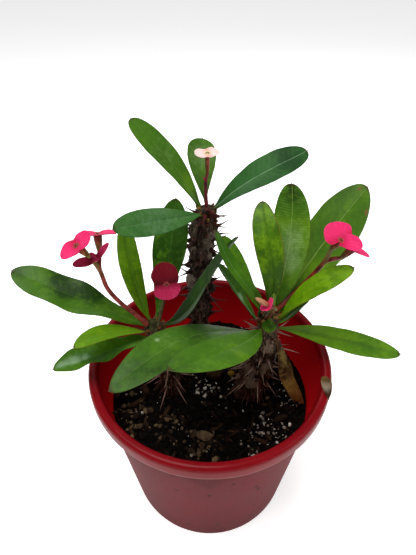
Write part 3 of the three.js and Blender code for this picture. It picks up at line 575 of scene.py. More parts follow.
# half: half the thickness of the blade; stalkHalf: what its stalk is thicker by; stalk and end: half the
# least width at the stalk and at the tip; groove and keel: depth and reach of the midrib above and below;
# soft and pucker: height and size of the blade's unevenness; edge: height and number of the small ripples
# of its edge; jags: share of the width and quickness of its irregular waves; inset: how far along the leaf
# its foot is drawn in to the stem; cloud: strength and size of its lighter and deeper parts
leafForm = {"half": 0.34, "stalkHalf": 0.45, "stalk": 0.95, "end": 0.25, "groove": (0.3, 0.7),
            "keel": (0.55, 0.9), "soft": (0.4, 13), "pucker": (0.1, 4.5), "edge": (0.1, 4),
            "jags": ((0.006, 23), (0.004, 47)), "inset": 3.5, "cloud": (0.35, 16)}


# Half the width at t, as a share of the widest: t^a (1-t)^point, brought to 1 where the leaf is broadest
def outline(t, broadest, point):
    a = point * broadest / (1 - broadest)
    return t ** a * (1 - t) ** point / (broadest ** a * (1 - broadest) ** point)


# The two skins of a flat tube: 1 above and -1 below, rounding in at its edges; a lower power is blunter
def skins(q, power):
    return np.sign(np.sin(q)) * np.abs(np.sin(q)) ** power


# A leaf is a flat tube: t runs from base to tip, and the angle q goes round the section, with v = -cos q
# from edge to edge and sin q for the two skins. Place = root + along length t + up (fold, ripple, arch,
# groove, skin) + side (half v cos fold + sweep bow), and the first rows run in to the stem by reach
def leafTube(shape, leaf, root, reach=0.0, inward=(0, 0, 0), seed=0, rows=96, columns=52):
    p = {**leafUsual, **leaf}
    t = (1 - (1 - np.linspace(0, 1, rows)) ** 1.8)[:, None]
    q = around(columns)[None, :]
    v = -np.cos(q)
    along, face = heading(p["turn"], p["rise"])
    up = spin(face, along, p["roll"] + p["twist"] * t[:, 0])[:, None]
    side = np.cross(along, up)
    blade = p["width"] / 2 * outline(t, p["broadest"], p["point"])
    half = (blade ** 5 + (leafForm["stalk"] * (1 - t) + leafForm["end"] * t) ** 5) ** 0.2
    (jag, quick), (fineJag, quicker) = leafForm["jags"]
    half = half * (1 + jag * np.sin(quick * t + seed) + fineJag * np.sin(quicker * t + 2 * seed))
    across = half * v
    fold, bow = np.radians(p["fold"]), 4 * t * (1 - t)
    inner = np.sin(np.pi * t)
    ripple = p["wave"] * np.sin(2 * np.pi * p["waves"] * t) * inner * v * np.abs(v)
    place = np.stack([t * p["length"] + 0 * v, across, 0 * across + seed * 7.7], -1)
    (swell, swellSize), (pucker, puckerSize) = leafForm["soft"], leafForm["pucker"]
    edge, edgeWaves = leafForm["edge"]
    soft = swell * bumps(place, swellSize, seed) * inner + pucker * bumps(place, puckerSize, seed)
    soft = soft + edge * np.abs(v) ** 3 * inner * np.sin(2 * np.pi * edgeWaves * t + np.sign(v) + seed)
    (deep, deepReach), (keel, keelReach) = leafForm["groove"], leafForm["keel"]
    groove = -deep * np.exp(-(across / deepReach) ** 2) * (1 - t) ** 0.5
    ridge = -keel * np.exp(-(across / keelReach) ** 2) * (1 - t) ** 0.6
    skin = (leafForm["half"] + leafForm["stalkHalf"] * (1 - t) ** 9) * skins(q, 0.7)
    smoothFold = np.sqrt(across ** 2 + 0.5) - 0.7
    lift = smoothFold * np.sin(fold) + ripple + p["arch"] * bow + soft * (t > 0) + skin
    lift = lift + np.where(np.sin(q) > 0, groove, ridge) * np.minimum(1, half / 2.5)
    flat = across * np.cos(fold) + p["sweep"] * bow
    points = root + along * p["length"] * t[..., None] + up * lift[..., None] + side * flat[..., None]
    foot = np.clip(1 - t * p["length"] / leafForm["inset"], 0, 1)[..., None] ** 2
    points = points + np.asarray(inward) * reach * foot
    strength, size = leafForm["cloud"]
    bright = p["bright"] + strength * bumps(place, size, seed + 50)
    # The shine mark carries a painted whitish highlight, and a few real pale flecks
    shine, spot = 0 * across, 0 * across
    # Softly lighter or darker parts added to bright, partly painted shade and painted light and partly own
    # tone
    for key, values in (("paintedShadeAndTone", bright), ("paintedShineAndFlecks", shine), ("spots", spot)):
        for where, over, size, amount in p[key]:
            away = ((t - where) * p["length"] / size) ** 2 + ((v - over) * p["width"] / 2 / size) ** 2
            values += amount * np.exp(-away)
    amounts = {key: p[key] for key in ("mottle", "midrib", "wrinkle", "rust", "specks")}
    shape.tube(
        points, tips=((0, 0, 0), along * p["tip"] + up[-1, 0] * 0.2), across=across,
        along=t * p["length"] + seed, rim=half * (1 - np.abs(v)), share=t, upper=np.sin(q) > 1e-6,
        bright=bright, shine=shine, spot=spot, **amounts)


finishes = {f"leaf_{tone}": leafFinish(f"leaf_{tone}", look) for tone, look in leafTones.items()}


def addLeaf(name, leaf, number):
    stem = stems[name.split("_")[0]]
    height = stemHeight(stem)
    radius = stemRadius(stem, leaf["drop"], height)
    cant = abs(np.sin(np.radians(leaf.get("roll", 0)))) + abs(np.sin(np.radians(leaf["fold"])))
    spread = abs(np.sin(np.radians(leaf["rise"]))) * (0.4 + 0.95 * cant)
    out = heading(leaf["turn"], 0)[0]
    root = stemLine(stem, 1 - leaf["drop"] / height) + out * (radius + 0.35 + spread)
    tone = leaf.get("tone", "mid")
    shape = Shape()
    leafTube(shape, leaf, root, 0.9 + spread, -out, number)
    slot = "leaf_green" if tone == "mid" else f"leaf_{tone}"
    shape.build(f"blade_{name}", [finishes[f"leaf_{tone}"]], [f"leaf_{name}"])


for number, (name, leaf) in enumerate(leaves.items()):
    addLeaf(name, leaf, number)

scrap = {"turn": -95, "rise": 0, "length": 14, "width": 6, "fold": 8, "broadest": 0.3, "point": 0.8,
         "mottle": 0.2, "tip": 1.5, "bright": -0.4, "paintedShineAndFlecks": [(0.5, 0.2, 4, 0.9)],
         "paintedShadeAndTone": [(0.8, 0, 3, -0.8)]}
scrapShape = Shape()
leafTube(scrapShape, scrap, np.array([63.2, -18.5, 116.9]), seed=31, rows=40, columns=32)
scrapShape.build("scrap_blade", [finishes["leaf_dry"]], ["leaf_scrap"])
print("leaves made")


# Stems

# Bark: dark brown with a fibrous grain, cracks and pale worn patches, greener under the crown and redder at
# the foot. Thorns go from brown at the root through grey or tan to a dark point, and are red brown where
# they are young
def barkFinish(name, look):
    f = Finish(name)
    age, thorn, young, pad, patch, stub = f.marks("age", "thorn", "young", "pad", "patch", "stub")
    broad, fine, grain = f.noise(6.5, 3, 0.6), f.noise(1.5, 4, 0.7), f.noise(0.5, 2)
    fibre = f.noise(0.9, 3, 0.65, (1, 1, 0.2), 0.8)
    crack = f.cells(3.0, (1, 1, 0.42), "DISTANCE_TO_EDGE").step(0.13, 0.02)
    worn = (patch + (fine - 0.5) * 1.1 + (broad - 0.5) * 0.5).step(0.42, 0.62)
    isThorn, isStub = thorn.step(0.0, 0.02), stub.step(0.0, 0.02)
    bark = f.coats(
        look["dark"],
        (broad.step(0.38, 0.64), look["main"]),
        (fibre.step(0.48, 0.7) * broad.step(0.3, 0.6) * 0.8, look["pale"]),
        (age.step(0.3, 0.0) * look["green"] * fine.step(0.3, 0.6), look["fresh"]),
        (age.step(0.72, 1.0) * 0.7, look["foot"]),
        (pad.step(0.45, 0.95) * fine.step(0.4, 0.62) * 0.55, look["scar"]),
        (crack * look["cracked"], "0e0907"),
        (worn * (0.35 + fibre * 0.5), look["worn"]),
        (isStub, f.mix(stub * fine.step(0.2, 0.6), "54201a", "8c7436")))
    spine = f.coats(
        look["spineRoot"],
        (thorn.step(0.15, 0.5), look["spine"]),
        (thorn.step(0.72, 1.0) * 0.6, look["spineTip"]),
        (young, look["spineYoung"]),
        (fine.step(0.4, 0.7) * 0.45, look["spineRoot"]))
    rough = isThorn * -0.3 + 0.86 + fine * 0.1
    height = crack * (-1.2 * look["cracked"]) + fibre * 0.7 + fine * 0.5 + grain * 0.2
    height = height * (1 - isThorn * 0.8)
    return f.paint(f.mix(isThorn, bark, spine), rough, height, 0.5, Specular_IOR_Level=0.12)


stemLooks = {
    "middle": {"dark": "1c120c", "main": "46352a", "pale": "958878", "fresh": "3c2a1c", "foot": "35241c",
               "scar": "8b8074", "worn": "8c7f70", "green": 0.6, "cracked": 0.35,
               "spineRoot": "2a1612", "spine": "54362c", "spineTip": "1c1210", "spineYoung": "4a1e18"},
    "left": {"dark": "241911", "main": "4c3c2c", "pale": "8c7c60", "fresh": "3f4420", "foot": "3a2018",
             "scar": "84745c", "worn": "8a7a62", "green": 0.9, "cracked": 0.6,
             "spineRoot": "3c221a", "spine": "86685a", "spineTip": "3a2620", "spineYoung": "52271c"},
    "right": {"dark": "291c15", "main": "5a4838", "pale": "a08c72", "fresh": "45421f", "foot": "3c1d18",
              "scar": "94846a", "worn": "98866e", "green": 0.7, "cracked": 0.6,
              "spineRoot": "4a2a22", "spine": "9a8070", "spineTip": "4a3228", "spineYoung": "5e2c22"},
}


# A thorn is a fine cone along its bent line, on a knob that swells its root: width (1-s)^0.85 + height of
# the knob e^-(d / reach)^2, with d the distance from the skin, which lies sunk mm above the root
def addThorn(shape, root, along, length, bend, width, knob, young, sunk, rows=9, columns=7):
    s = np.linspace(0, 1, rows)[:, None] ** 1.4
    middle = root + along * length * s + np.array([0, 0, 1]) * bend * s * s
    out = s * length - sunk
    radius = width * (1 - s) ** 0.85 + 0.04 + knob[0] * np.exp(-((out + 0.5) / knob[1]) ** 2)
    shape.tube(pipe(middle, radius, columns), thorn=np.maximum(s, 0.03), young=young)


# How much the necks take off the radius: depth e^-(d / reach)^2 for each, with d the distance from it
def neckDepth(stem, drop):
    return sum(depth * np.exp(-((drop - at) / reach) ** 2) for at, depth, reach in stem["necks"])


# Soft spots on a stem's skin: each is lift e^-(d / reach)^2, with d the distance along the skin
def blobs(spots, drop, angle, radius):
    total = np.zeros(radius.shape)
    for at, turn, reach, lift in spots:
        apart = np.angle(np.exp(1j * (angle - np.radians(turn)))) * radius
        total += lift * np.exp(-((drop - at) ** 2 + apart ** 2) / reach ** 2)
    return total


# Draws the pairs of thorns as the solid's own source does, and keeps those whose tips the solid has,
# because it leaves out the ones that would touch a leaf or a flower. Gives the place of every pair and the
# kept thorns
def drawThorns(name, height):
    stem = stems[name]
    draw = draws(stem["seed"])
    shortest, longest = stem["thorns"]
    angles = stemUsual["rise"]
    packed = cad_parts[f"stem_{name}"].data.vertices
    solid = np.empty(len(packed) * 3, np.float32)
    packed.foreach_get("co", solid)
    solid = solid.reshape(-1, 3) / mm
    pads, thorns = [], []
    for k in range(stem["pairs"]):
        below = 1 - (k + next(draw) * 0.6) / stem["pairs"]
        share = stemUsual["thornTop"] - stemUsual["thornZone"] * below ** stem["crowding"]
        drop = (1 - share) * height
        most = (shortest + longest) / 2 if drop < stemUsual["crownZone"] else longest
        for side in (-1, 1):
            turn = k * stemUsual["scarTurn"] + side * stemUsual["pairSpread"]
            turn += next(draw) * stemUsual["turnPlay"]
            rise = angles["foot"] + angles["gain"] * share + angles["spread"] * next(draw)
            length = shortest + (most - shortest) * next(draw)
            bend = (2 * next(draw) - 1) * stemUsual["bend"] * length
            out = heading(turn, 0)[0]
            root = stemLine(stem, share) + out * (stemRadius(stem, drop, height) - stemUsual["thornRoot"])
            along = heading(turn, rise)[0]
            tip = root + along * length + np.array([0, 0, bend])
            pads.append((drop, turn))
            if np.linalg.norm(solid - tip, axis=1).min() < stemUsual["tipMiss"]:
                thorns.append((root, along, length, bend, drop))
    return pads, thorns


# The bark: rings round the stem's line. Their radius is swollen three ways, narrowed at the necks, raised
# by a pad under each thorn and roughened by bumps that are longer than they are wide
def addBark(shape, stem, height, pads):
    rows = np.linspace(height, stemUsual["fineTop"], int(height * stemUsual["rowsPerMm"]))
    drop = np.concatenate([rows, np.linspace(stemUsual["fineTop"], 0, 16)[1:]])[:, None]
    angle = around(stemUsual["columns"])[None, :]
    rings = round(height / stemUsual["ringGap"])
    ringAt = 1 + (height - drop) / (height - stem["dome"]) * (rings - 1)
    low, high = stemUsual["bulgeStart"]
    knobbly = np.clip((drop - low) / (high - low), 0, 1)
    radius = stemRadius(stem, drop, height)
    bulges = np.cos(3 * angle + ringAt * stemUsual["bulgeTurn"])
    radius = radius * (1 + stemUsual["bulge"] * knobbly * bulges)
    radius = radius - neckDepth(stem, drop) + blobs(stem["swells"], drop, angle, radius)
    padHeight = np.zeros(radius.shape)
    tall, wide = stemUsual["padSize"]
    for padDrop, padTurn in pads:
        apart = np.angle(np.exp(1j * (angle - np.radians(padTurn))))
        away = ((drop - padDrop) / tall) ** 2 + (apart * radius / wide) ** 2
        padHeight = np.maximum(padHeight, np.exp(-away))
    line = stemLine(stem, 1 - drop[:, 0] / height)
    ring = np.stack([np.cos(angle) + 0 * drop, np.sin(angle) + 0 * drop, 0 * drop + 0 * angle], -1)
    skin = line[:, None] + ring * radius[..., None]
    rough = 0
    for k, (size, stretch, lift) in enumerate(stemUsual["reliefs"]):
        layer = bumps(skin * [1, 1, stretch], size, stem["seed"] + k)
        rough = rough + (np.abs(layer) if k == 2 else layer) * lift
    lifted = stemUsual["padHeight"] * padHeight + rough - stemUsual["sunk"]
    radius = radius + lifted * np.clip(drop / 4, 0.25, 1)
    skin = line[:, None] + ring * radius[..., None]
    below = skin[:1] * [1, 1, 0] + [0, 0, soil["level"] - soil["buried"]]
    none = np.zeros((1, radius.shape[1]))
    shape.tube(
        np.concatenate([below, skin]), tips=((0, 0, 0), (0, 0, 0.6)),
        age=np.concatenate([[1], drop[:, 0] / height])[:, None], pad=np.concatenate([none, padHeight]),
        patch=np.concatenate([none, blobs(stem["patches"], drop, angle, radius)]))


# 1 for a thorn at the crown, less for an older one below
def youth(drop):
    return float(np.clip(1.3 - drop / stemUsual["crownZone"], 0, 1))


# Short bristles among the thorns, then limp old spines that hang about the foot and end above the soil
def addBristles(shape, stem, height, pads, rng):
    for k in range(stem["bristles"] + stem["hanging"]):
        limp = k >= stem["bristles"]
        kind = oldSpine if limp else bristle
        padDrop, padTurn = pads[rng.integers(len(pads))]
        if limp:
            at, turn = rng.uniform(*oldSpine["zone"]) * height, rng.uniform(0, 360)
        else:
            at, turn = np.array([padDrop, padTurn]) + rng.normal(0, bristle["scatter"])
        at = np.clip(at, 3, height - 2)
        length, rise = rng.uniform(*kind["length"]), rng.uniform(*kind["rise"])
        skinHere = stemRadius(stem, at, height) - neckDepth(stem, at)
        root = stemLine(stem, 1 - at / height) + heading(turn, 0)[0] * (skinHere - 0.6)
        along = heading(turn, rise)[0]
        room = (soil["level"] + 1.2 - root[2]) / along[2] if along[2] < 0 else length
        length = min(length, max(room, 1.5))
        bend = rng.normal(0, 0.1) * length
        young = 1.0 if limp else youth(at)
        addThorn(shape, root, along, length, bend, kind["width"], (0.35, 1.5), young * 0.8, 0.6, 6, 5)


# Blunt ends of old leaf stalks round the crown
def addStubs(shape, stem, height, rng):
    for k in range(stem["stubs"]):
        at, turn = oldStalk["first"] + oldStalk["gap"] * k, k * stemUsual["scarTurn"] + oldStalk["turn"]
        s = np.linspace(0, 1, 7)[:, None]
        root = stemLine(stem, 1 - at / height) + heading(turn, 0)[0] * (stemRadius(stem, at, height) - 0.8)
        length = rng.uniform(*oldStalk["length"])
        middle = root + heading(turn, rng.uniform(*oldStalk["rise"]))[0] * length * s
        thick = oldStalk["radius"] * (1 - s ** 3) ** 0.5 + 0.05
        shape.tube(pipe(middle, thick, 8), stub=rng.uniform(0.15, 1))


def addStem(name):
    stem = stems[name]
    height = stemHeight(stem)
    pads, thorns = drawThorns(name, height)
    shape = Shape()
    addBark(shape, stem, height, pads)
    for root, along, length, bend, drop in thorns:
        addThorn(shape, root, along, length, bend, stemUsual["thornWidth"], stem["knob"], youth(drop),
                 stemUsual["thornRoot"])
    rng = np.random.default_rng(stem["seed"])
    addBristles(shape, stem, height, pads, rng)
    addStubs(shape, stem, height, rng)
    shape.build(f"stem_{name}_bark", [barkFinish(f"bark_{name}", stemLooks[name])],
                [f"stem_{name}"])
    print("stem", name, "with", len(thorns), "thorns")


for name in stems:
    addStem(name)


# Flowers

bractLooks = {
    "pink": {"main": "e62c6a", "deep": "c21648", "rim": "f0568a", "vein": "ce1e56", "under": "c42a58"},
    # rose: a deeper pink; on the middle flower's lower bract it is partly painted shade, on the stalks'
    # small blades their own colour
    "rose": {"main": "a41e46", "deep": "700a22", "rim": "cc4878", "vein": "8a1234", "under": "980c34"},
    # Pink darkened as painted shade, for the middle flower's upper bract, which lies in shade
    "pinkInPaintedShade": {"main": "6e081a", "deep": "4a0610", "rim": "821228", "vein": "580614", "under": "761226"},
    "pale": {"main": "f2cdc6", "deep": "e0a898", "rim": "f8e0dc", "vein": "e6a8a6", "under": "e4a4a4"},
}


# Bract: deeper round the eye, lighter at the rim, and fine veins that fan out from its base
def bractFinish(name, look):
    f = Finish(name)
    share, rim, fan, upper = f.marks("share", "rim", "fan", "upper")
    broad, fine = f.noise(4, 2), f.noise(0.7, 3, 0.6)
    vein = (fan * 26 + (broad - 0.5) * 5).stripes(2 * np.pi) ** 4 * share.step(0.05, 0.35)
    base = f.coats(
        look["main"],
        (share.step(0.5, 0.05), look["deep"]),
        ((broad - 0.5) * 0.8 + rim.step(1.6, 0.0) * 0.35, look["rim"]),
        (vein * 0.35, look["vein"]),
        (upper.step(0.55, 0.45), look["under"]))
    return f.paint(base, fine * 0.1 + 0.52, vein * -0.4 + broad * 0.5 + fine * 0.3, 0.12,
                   Sheen_Weight=0.04, Specular_IOR_Level=0.08)


# Eye: glands that are lighter on their tops
def eyeFinish(name, low, high):
    f = Finish(name)
    top, = f.marks("top")
    fine = f.noise(0.5, 2)
    return f.paint(f.mix(top * 0.8 + fine * 0.2, low, high), fine * 0.15 + 0.3, fine, 0.06)


# Stalk and cup: red brown, with green streaks on the cup and below each flower, and fine ribs along
def stalkFinish(name, look):
    f = Finish(name)
    cup, share, ribs = f.marks("cup", "share", "ribs")
    broad, fine = f.noise(4, 3), f.noise(0.6, 2)
    streak = f.noise(1.3, 3, 0.6, (1, 1, 0.25))
    mouth = f.coats(
        look["green"],
        (cup.step(0.1, 0.8), look["mouth"]),
        (streak.step(0.42, 0.62) * 0.7, look["deep"]))
    base = f.coats(
        look["deep"],
        (broad.step(0.35, 0.65), look["main"]),
        (share.step(0.7, 1.0) * 0.7, look["green"]),
        (cup.step(0.0, 0.02), mouth),
        (ribs * 0.4, look["deep"]))
    return f.paint(base, fine * 0.12 + 0.4, fine * 0.4 + ribs * -0.6, 0.12, Specular_IOR_Level=0.18)


for tint, look in bractLooks.items():
    finishes[f"bract_{tint}"] = bractFinish(f"bract_{tint}", look)
finishes["gland"] = eyeFinish("gland_brown", "5a1014", "a8482a")
finishes["glandPale"] = eyeFinish("gland_yellow", "a4a454", "e6dfa0")
finishes["heart"] = eyeFinish("flower_heart", "4a0a10", "8a2420")
finishes["budSkin"] = eyeFinish("bud_skin", "86482c", "c48a62")
stalkLooks = {
    "left": {"main": "8a342c", "deep": "5a2016", "green": "82863e", "mouth": "96402c"},
    "right": {"main": "8a3428", "deep": "521c14", "green": "7a7a44", "mouth": "7a3020"},
    "middle": {"main": "4c4a24", "deep": "3a2018", "green": "5c6a2c", "mouth": "56421f"},
    "top": {"main": "74222c", "deep": "4a1418", "green": "7a4426", "mouth": "9a5434"},
    "bud": {"main": "6a3a22", "deep": "40201a", "green": "6a6a30", "mouth": "7a4a2c"},
}

# centre: the middle of the eye. turn and rise: the way that the flower looks. angles: of its two bracts
# about that way. first and second: length and width of each bract. lift: of both bracts. eye: its radius
# and height, which is over 2 for a bud. cup: its length, mouth and foot
bloomUsual = {"lift": 12, "eye": (1.7, 1.5), "cup": (8, 2.1, 1), "looks": ("pink", "pink"),
              "gland": "gland"}
blooms = {
    "top": {"centre": (-1.4, 41, 219.6), "turn": -90, "rise": 84, "angles": (-82, 98), "first": (7, 9.5),
            "second": (7.2, 9.5), "lift": 3, "cup": (11, 1.2, 0.7), "looks": ("pale", "pale"),
            "gland": "glandPale"},
    "left_side": {"centre": (-61.1, -5, 194.4), "turn": 225, "rise": 60, "angles": (-16, 168),
                  "first": (9, 10.5), "second": (9.5, 10.5), "lift": 4},
    "left_top": {"centre": (-54.9, 8.2, 191.9), "turn": 98, "rise": 70, "angles": (90, 270),
                 "first": (9.5, 10.5), "second": (11, 11), "lift": 2},
    "middle": {"centre": (-21.8, -3, 170.3), "turn": -88, "rise": 32, "angles": (6, 187),
               # This flower is painted in shade: its upper bract in deep painted shade, its lower one in a
               # lighter one
               "first": (12, 13.5), "second": (8.5, 13.5), "looks": ("pinkInPaintedShade", "rose"), "gland": "heart"},
    "right_big": {"centre": (61.9, 3, 192.1), "turn": -60, "rise": 60, "angles": (2, -128),
                  "first": (10.2, 17), "second": (11.8, 9), "lift": 6},
    "right_small": {"centre": (71.4, 9, 183.4), "turn": -20, "rise": 58, "angles": (20, 200),
                    "first": (3.5, 6), "second": (11.5, 6), "lift": 2},
    "right_bud": {"centre": (28.8, -12.3, 164.1), "turn": 190, "rise": 40, "angles": (-20, 170),
                  "first": (5.5, 6.5), "second": (5, 5.4), "lift": 20, "eye": (1.35, 5.2),
                  "cup": (4, 1.6, 0.9)},
}


# half: half its thickness. middle: where it is broadest, as a share of its length. cupped: lift of its rim
# as a share of its half width. ripple: height and number of its waves. jags: share of the width and
# quickness of its edge's irregular waves. sunk: how far its root runs under the eye
bractForm = {"half": 0.24, "middle": 0.4, "cupped": 0.1, "ripple": (0.4, 4), "jags": (0.03, 9), "sunk": 0.6}
# An open eye: half width and half height of its dome; half sizes of a gland and of a stamen, outwards, over
# and up; and where a gland stands, outwards and up
eyeForm = {"dome": (1.2, 0.9), "gland": (0.5, 0.65, 0.28), "stamen": (0.22, 0.22, 0.4),
           "place": (1.25, 0.5)}


# A bract is a flat tube like a leaf. Half its width is (width / 2) sqrt(1 - ((t - m) / (1 - m))^2), with m
# where it is broadest. Its rim lifts with the distance from the middle line, and its edge ripples
def bractTube(shape, origin, along, facing, length, width, lift, finish, seed=0):
    t = (0.5 - 0.5 * np.cos(np.pi * np.linspace(0, 0.985, 34)))[:, None]
    q = around(52)[None, :]
    v = -np.cos(q)
    high, waves = bractForm["ripple"]
    beyond = (t - bractForm["middle"]) / (1 - bractForm["middle"])
    half = width / 2 * np.maximum(1 - beyond ** 2, 0) ** 0.5
    jag, quick = bractForm["jags"]
    half = half * (1 + jag * np.sin(quick * t + seed) * np.sign(v))
    far = np.clip(np.hypot(half * v / (width / 2), t), 0, 1)
    ripple = np.sin(waves * np.arctan2(v * half, t * length + 1) + seed)
    ripple = high * far ** 3 * ripple * min(1, width / 10)
    level, rise = np.cos(np.radians(lift)), np.sin(np.radians(lift))
    rim = bractForm["cupped"] * half * np.abs(v) * (1 + t)
    skin = bractForm["half"] * skins(q, 0.6)
    out = (length * t * level - bractForm["sunk"])[..., None] * along
    up = (length * t * rise + rim + ripple + skin)[..., None] * facing
    points = origin + out + up + (half * v)[..., None] * np.cross(along, facing)
    shape.tube(
        points, finish, tips=((0, 0, 0), along * 0.25), share=t, rim=half * (1 - np.abs(v)) + (1 - t) * 2,
        fan=np.arctan2(half * v, t * length + 1.5), upper=np.sin(q) > 1e-6)


# An open flower's eye is a low dome with five flat glands round it and five stamens; a bud's is a long
# smooth body
def addBloom(name, bloom, seed):
    p = {**bloomUsual, **bloom}
    facing, face = heading(p["turn"], p["rise"])
    centre = np.array(p["centre"], float)
    radius, tall = p["eye"]
    sideways = np.cross(facing, face)
    shape = Shape()
    for k, (length, width) in enumerate((p["first"], p["second"])):
        along = spin(face, facing, p["angles"][k])
        bractTube(shape, centre, along, facing, length, width, p["lift"], k, seed + k)
    made = [finishes[f"bract_{look}"] for look in p["looks"]]
    if tall > 2:
        body = ball(centre + facing * (tall - 0.8), face * radius, sideways * radius, facing * tall, 24, 24)
        shape.tube(body, 2, top=np.linspace(0.2, 1, 24)[:, None])
        made.append(finishes["budSkin"])
    else:
        wide, high = eyeForm["dome"]
        dome = ball(centre + facing * 0.1, face * wide, sideways * wide, facing * high, 10, 18)
        shape.tube(dome, 3, top=0.4)
        away, raised = eyeForm["place"]
        for turn in np.arange(5) * 72 + p["angles"][0] + 36:
            out = spin(face, facing, turn)
            over = np.cross(facing, out)
            deep, wide, high = eyeForm["gland"]
            gland = ball(centre + out * away + facing * raised, out * deep, over * wide, facing * high)
            shape.tube(gland, 2, top=np.linspace(0.2, 1, 9)[:, None])
            deep, wide, high = eyeForm["stamen"]
            middle = centre + spin(out, facing, 30) * 0.45 + facing
            shape.tube(ball(middle, out * deep, over * wide, facing * high), 2, top=0.9)
        made += [finishes[p["gland"]], finishes["heart"]]
    slot = "bract_pale" if "pale" in p["looks"] else "bract_pink"
    shape.build(f"bloom_{name}_bracts", made, [f"bloom_{name}"])


for number, (name, bloom) in enumerate(blooms.items()):
    addBloom(name, bloom, number * 2.3)

# paths: the points of each branch, and the flower that it carries. blades: the root of each small blade,
# its turn, rise and roll, then its length and width
leftFork, rightFork = (-53.6, -3.6, 180.3), (57.9, 6.4, 177.6)
upperNode, lowerNode = (-54.2, -0.4, 184.6), (-56.2, -4.2, 185.6)
stalks = {
    "top": {"radius": 0.95, "blades": [((-2.3, 39.4, 205), (190, 62, 0), 3.6, 2.4)],
            "paths": [([(-1.8, 38.1, 191.5), (-2.3, 38.8, 199), (-2.2, 39.6, 206)], "top")]},
    "left": {"radius": 1.15,
             "blades": [(upperNode, (10, 50, 38), 10.5, 3.8), (upperNode, (200, 35, 0), 5, 5),
                        (lowerNode, (185, -13, -32), 9.8, 5.2), (lowerNode, (20, -10, 0), 4, 3)],
             "paths": [([(-34, -3.9, 143), (-38.2, -5.4, 150.7), (-44.8, -6.5, 160.2), (-50.6, -6, 170),
                         leftFork], "left_side"),
                       ([leftFork], "left_top")]},
    "middle": {"radius": 0.85,
               "paths": [([(-27.7, -4.8, 142.3), (-26.4, -4, 149), (-24, 2, 157)], "middle")]},
    "right": {"radius": 1.25,
              "paths": [([(35.2, 0.9, 148.2), (41.4, 6, 151), (48.6, 10.2, 156.8), (54, 9.2, 166.6),
                          rightFork], "right_big"),
                        ([rightFork, (61.5, 7, 178.2)], "right_small")]},
    "bud": {"radius": 0.9,
            "paths": [([(29.5, -4.4, 148.9), (29.8, -8.6, 152.6), (30.8, -11.8, 159.2)], "right_bud")]},
}


# start and taper: share of its radius that a stalk starts with, and what it loses of that on its way. foot:
# gain and reach of its thicker foot, as shares. uneven: share and size of its unevenness. waist: what a cup
# gains half way up. rib: height of its ribs. set: how far a cup runs down round the stalk, and how far below
# the eye's middle it ends
stalkForm = {"start": 1.02, "taper": 0.1, "foot": (0.18, 0.05), "uneven": (0.04, 3), "waist": 0.22,
             "rib": 0.12, "set": (1.3, 0.4)}


# Each branch is a pipe along a smooth line, with a thicker foot. Each cup widens from foot to mouth, as
# foot + (mouth - foot) c^1.25 with c from 0 to 1 and a soft waist on top, and has five low ribs
def addStalk(name, stalk):
    shape = Shape()
    for points, carried in stalk["paths"]:
        bloom = {**bloomUsual, **blooms[carried]}
        facing, face = heading(bloom["turn"], bloom["rise"])
        length, mouth, foot = bloom["cup"]
        centre = np.array(bloom["centre"], float)
        line = smoothLine([*points, centre - facing * length], 24 * (len(points) + 1))
        s = np.linspace(0, 1, len(line))[:, None]
        gain, reach = stalkForm["foot"]
        form = stalkForm["start"] - stalkForm["taper"] * s + gain * np.exp(-(s / reach) ** 2)
        thick = stalk["radius"] * form
        share, size = stalkForm["uneven"]
        thick = thick * (1 + share * bumps(line, size)[:, None])
        ribs = np.cos(3 * around(20))[None, :] ** 8 + 0 * s
        shape.tube(pipe(line, thick, 20), share=s, ribs=ribs * 0.5)
        c = np.linspace(0, 1, 26)[:, None]
        ribbed = np.cos(2.5 * around(30)[None, :]) ** 2
        width = foot + (mouth - foot) * c ** 1.25 + stalkForm["waist"] * np.sin(np.pi * c)
        width = width + stalkForm["rib"] * ribbed * c
        down, short = stalkForm["set"]
        axis = centre - facing * (length + down) + facing * (length + down - short) * c
        shape.tube(pipe(axis, width, 30), cup=np.maximum(c, 0.03), ribs=(1 - ribbed) ** 4 * c)
    for number, (root, (turn, rise, roll), length, width) in enumerate(stalk.get("blades", [])):
        along, face = heading(turn, rise)
        bractTube(shape, np.array(root), along, spin(face, along, roll), length, width, 0, 1, number)
    skin = stalkFinish(f"stalk_{name}_skin", stalkLooks[name])
    shape.build(f"stalk_{name}_skin", [skin, finishes["bract_rose"]], [f"stalk_{name}"])


for name, stalk in stalks.items():
    addStalk(name, stalk)
print("flowers made")


# Pot

# rim: radius of the rolled rim. taper: what the body's radius gains per mm of height. lip: height of the
# rim. roof: thickness of its top. drain and drainCircle: radius of the four holes, and of the circle that
# they stand on. lowReach: where the painted shade towards the base, and the thinning of the film of dust
# that goes with it, begins. vee: a painted reflection, a darker V under the rim in front,
# as its half angle in radians, soft edge and depth
pot = {"rim": 70, "height": 116, "base": 54.6, "taper": 0.098, "wall": 1.3, "floor": 2, "lip": 8.5,
       "roof": 3.2, "drain": 4.5, "drainCircle": 36, "steps": 192, "lowReach": 60, "vee": (0.42, 0.1, 30)}
# inside and glow: painted light, a brighter red and an emission for the light through the wall; low: painted
# shade towards the base
potLook = {"main": "7c0711", "cloud": "66060e", "inside": "c80e14", "film": "602b2f", "vee": "4c1418",
           "low": "400a10", "pit": "3c080c", "scratch": "845054", "glow": "780406"}


def potRadius(z):
    return pot["base"] + pot["taper"] * z


